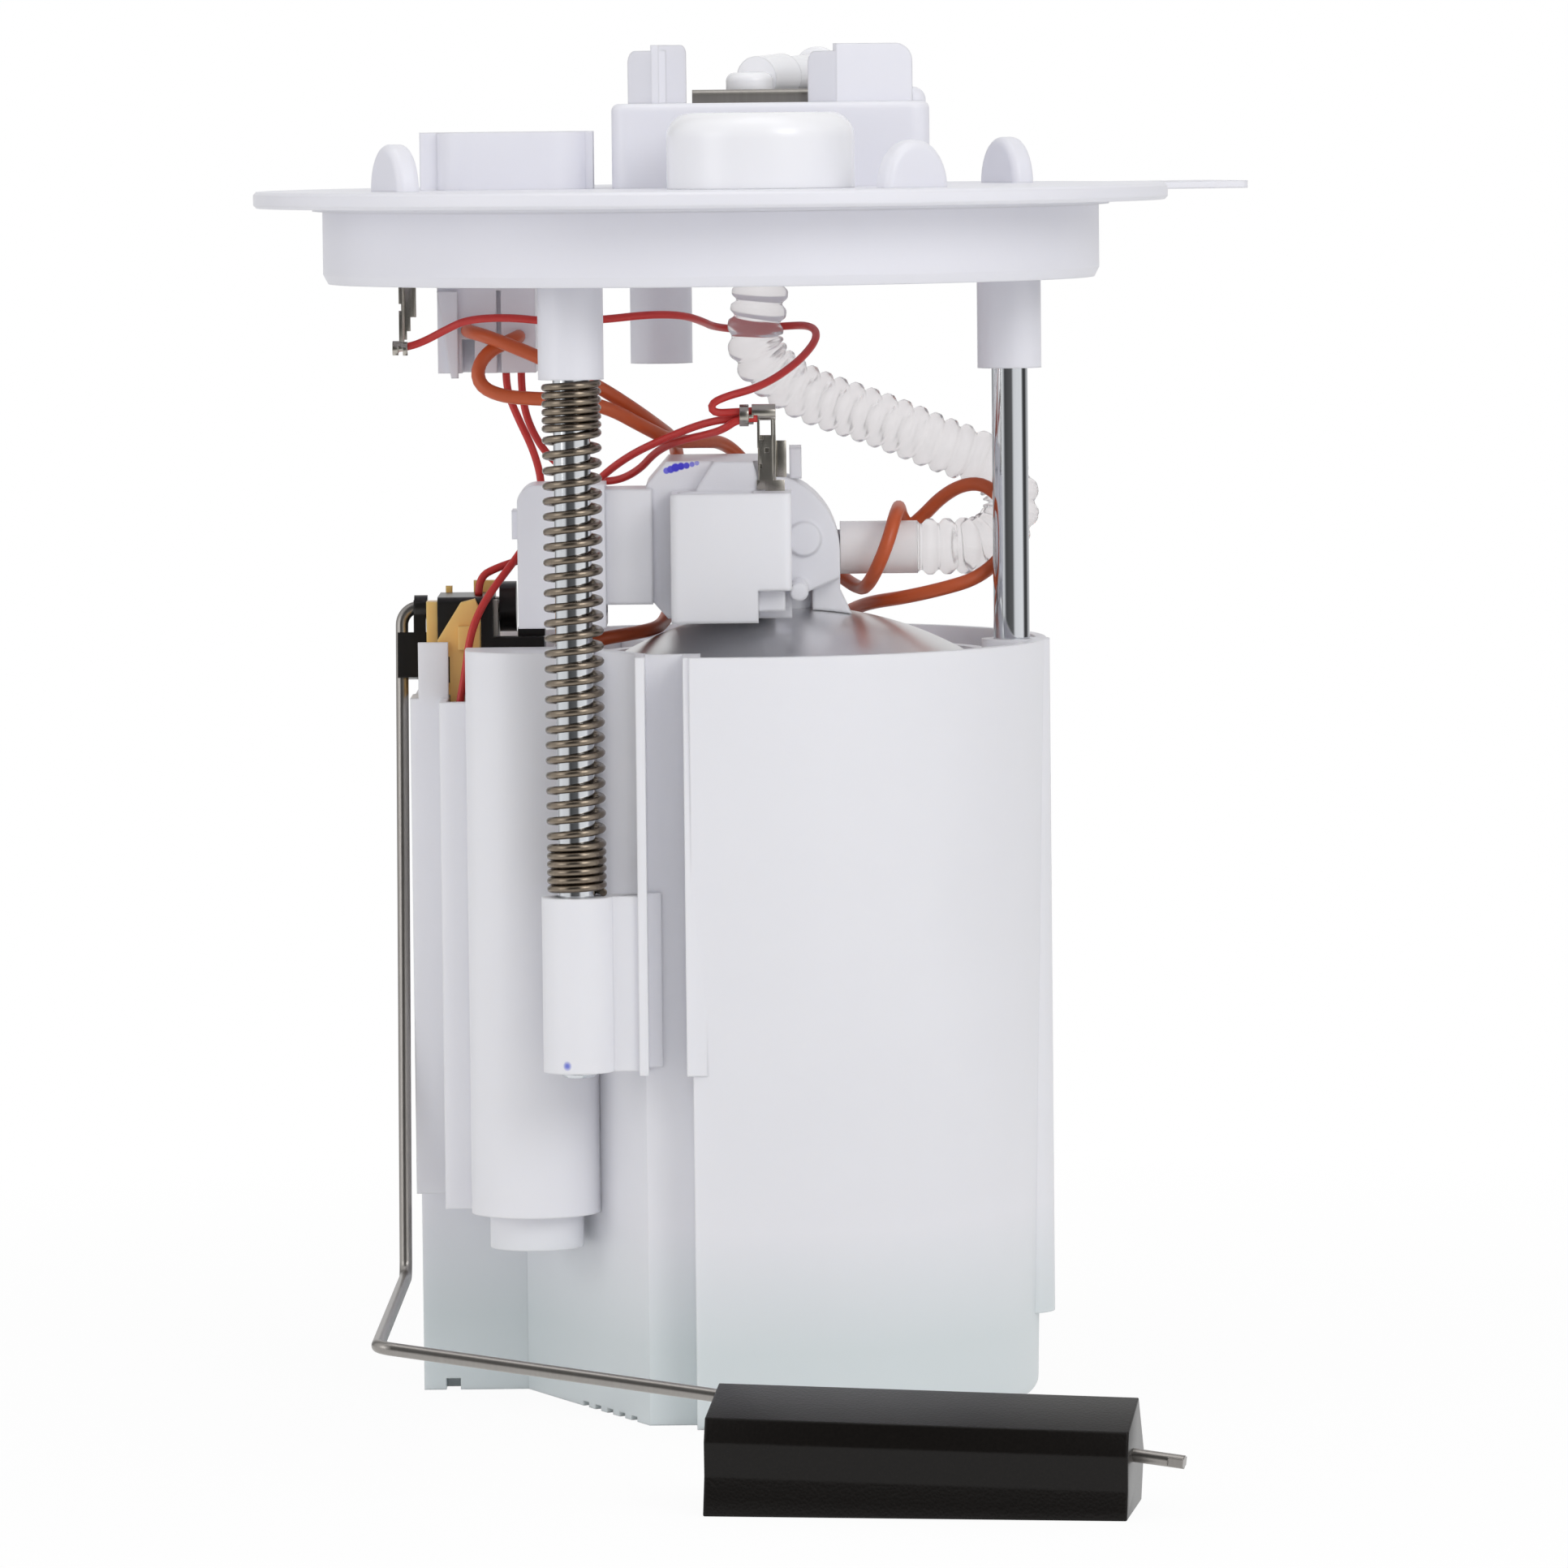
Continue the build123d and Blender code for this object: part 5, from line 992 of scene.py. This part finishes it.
@dataclass
class Studio:
    """The camera, lamps, floor and surroundings.

    Args:
        eye: where the camera stands, in millimetres.
        target: the point it looks at.
        roll: its roll in degrees.
        lens: its focal length for a sensor 36 mm wide.
        floor: the floor's height in millimetres.
        wide: the floor's width in metres.
        sunk: how far below its height it lies, in millimetres, so that it meets no face of the module.
        daylight: the strength of the surroundings' light on the module.
        mirrored: how bright they look in a mirror.
        shadow: how far from the module's foot its shadow fades, from and to, in metres.
        shaded: the share of its own glow that the floor keeps where that shadow is deepest.
        band_ends: how grey the surroundings look in a mirror behind the module.
        bands: how grey they look elsewhere, by the share of a full turn.
        bands_from: how far out the floor shows those bands in a mirror, from and to, in metres.
        lamps: each lamp's name, place and size in millimetres, and power in watts.
    """

    eye: Point = (11.15, -1500.0, 16.1)
    target: Point = (11.15, 0.0, -96.6)
    roll: float = -0.6
    lens: float = 207.4
    floor: float = -198.5
    wide: float = 8.0
    sunk: float = 0.05
    daylight: float = 0.65
    mirrored: float = 0.95
    shadow: Pair = (0.12, 0.4)
    shaded: float = 0.9
    band_ends: float = 0.9
    bands: tuple[Pair, ...] = (
        (0.07, 0.7), (0.1, 0.15), (0.14, 0.6), (0.2, 0.95), (0.37, 0.8), (0.405, 0.08), (0.53, 0.14),
        (0.565, 0.9), (0.71, 1.0), (0.75, 0.08), (0.81, 0.06), (0.86, 0.5),
    )
    bands_from: Pair = (0.3, 0.7)
    lamps: tuple[tuple[str, Point, float, float], ...] = (
        ("key_lamp", (600.0, -900.0, 500.0), 600.0, 3.4),
        ("side_lamp", (-900.0, -500.0, 200.0), 600.0, 1.2),
        ("top_lamp", (0.0, -200.0, 1100.0), 800.0, 1.8),
    )

    def camera(self) -> None:
        """Sets up the camera at the photograph's angle."""
        data = bpy.data.cameras.new("camera")
        data.sensor_width = 36.0
        data.lens = self.lens
        data.clip_end = 20.0
        camera = bpy.data.objects.new("camera", data)
        bpy.context.collection.objects.link(camera)
        eye = Vector(self.eye) * MM
        look = (Vector(self.target) * MM - eye).to_track_quat("-Z", "Y").to_matrix().to_4x4()
        turn = Matrix.Rotation(math.radians(self.roll), 4, "Z")
        camera.matrix_world = Matrix.Translation(eye) @ look @ turn
        bpy.context.scene.camera = camera

    def banded(self, tree: Tree, place: Socket) -> Socket:
        """Builds the upright grey bands that a mirror shows, as dark flags beside the lamps give.

        Args:
            tree: the tree that takes the nodes.
            place: the direction, or the place seen from the module's middle.

        Returns:
            The bands' colour.
        """
        cross = add(tree, "ShaderNodeSeparateXYZ", {"Vector": place})
        ahead = reckon(tree, "MULTIPLY", cross.outputs["Y"], -1.0)
        angle = reckon(tree, "ARCTAN2", cross.outputs["X"], ahead)
        band = add(tree, "ShaderNodeValToRGB", {"Fac": remap(tree, angle, -math.pi, math.pi)})
        stops = band.color_ramp.elements
        for stop in stops:
            stop.color = (*[self.band_ends] * 3, 1.0)
        for position, grey in self.bands:
            stops.new(position).color = (grey, grey, grey, 1.0)
        return band.outputs[0]

    def world(self) -> None:
        """Makes plain surroundings that look white and light the module evenly."""
        world = bpy.data.worlds.new("surroundings")
        bpy.context.scene.world = world
        world.use_nodes = True
        tree = world.node_tree
        tree.nodes.clear()
        rays = add(tree, "ShaderNodeLightPath").outputs
        place = add(tree, "ShaderNodeTexCoord").outputs["Generated"]
        seen = add(tree, "ShaderNodeBackground", {"Color": WHITE, "Strength": 1.0})
        light = add(tree, "ShaderNodeBackground", {"Color": WHITE, "Strength": self.daylight})
        mirrored = add(tree, "ShaderNodeBackground", {
            "Color": self.banded(tree, place), "Strength": self.mirrored,
        })
        through = reckon(tree, "MAXIMUM", rays["Is Camera Ray"], rays["Is Transmission Ray"])
        plain = add(tree, "ShaderNodeMixShader", {0: through, 1: light.outputs[0], 2: seen.outputs[0]})
        both = add(tree, "ShaderNodeMixShader", {
            0: rays["Is Glossy Ray"], 1: plain.outputs[0], 2: mirrored.outputs[0],
        })
        add(tree, "ShaderNodeOutputWorld", {"Surface": both.outputs[0]})

    def ground(self) -> None:
        """Lays a white floor that keeps a soft shadow; further out, a mirror sees the bands in it."""
        bpy.ops.object.select_all(action="DESELECT")
        bpy.ops.mesh.primitive_plane_add(size=self.wide, location=(0, 0, (self.floor - self.sunk) * MM))
        floor = bpy.context.object
        floor.name = "studio_floor"
        bpy.ops.object.transform_apply(location=True)
        made = bpy.data.materials.new("studio_floor_white")
        made.use_nodes = True
        tree = made.node_tree
        tree.nodes.clear()
        rays = add(tree, "ShaderNodeLightPath").outputs
        paper = add(tree, "ShaderNodeBsdfDiffuse", {"Color": PAPER_WHITE})
        place = add(tree, "ShaderNodeTexCoord").outputs["Object"]
        reach = add(tree, "ShaderNodeVectorMath", {"operation": "LENGTH", 0: place}).outputs["Value"]
        mirrored = reckon(tree, "MULTIPLY", rays["Is Glossy Ray"], remap(tree, reach, *self.bands_from))
        shown = mix(tree, mirrored, WHITE, self.banded(tree, place))
        glow = add(tree, "ShaderNodeEmission", {"Color": shown, "Strength": 1.0})
        direct = reckon(tree, "MAXIMUM", rays["Is Camera Ray"], rays["Is Glossy Ray"])
        seen = reckon(tree, "MULTIPLY", direct, remap(tree, reach, *self.shadow, self.shaded))
        both = add(tree, "ShaderNodeMixShader", {0: seen, 1: paper.outputs[0], 2: glow.outputs[0]})
        add(tree, "ShaderNodeOutputMaterial", {"Surface": both.outputs[0]})
        floor.data.materials.append(made)

    def light(self) -> None:
        """Hangs the soft lamps, each turned towards the module."""
        for name, place, size, power in self.lamps:
            data = bpy.data.lights.new(name, "AREA")
            data.shape = "DISK"
            data.size = size * MM
            data.energy = power
            lamp = bpy.data.objects.new(name, data)
            bpy.context.collection.objects.link(lamp)
            spot = Vector(place) * MM
            aim = Vector(self.target) * MM - spot
            lamp.matrix_world = Matrix.Translation(spot) @ aim.to_track_quat("-Z", "Y").to_matrix().to_4x4()

    def build(self) -> None:
        """Sets up the whole studio."""
        bpy.context.scene.view_settings.view_transform = "Standard"
        self.camera()
        self.world()
        self.ground()
        self.light()
        LOG.info("studio is ready")


def main() -> None:
    """Builds the studio, the cords, the terminals, the float and the spring, and dresses the nodes."""
    logging.basicConfig(level=logging.INFO, format="%(message)s")
    Studio().build()
    for cord in CORDS:
        cord.build()
    for terminal in TERMINALS:
        terminal.build()
    FoamFloat().build()
    CoilSpring().build()
    dress_nodes()


if __name__ == "__main__":
    main()
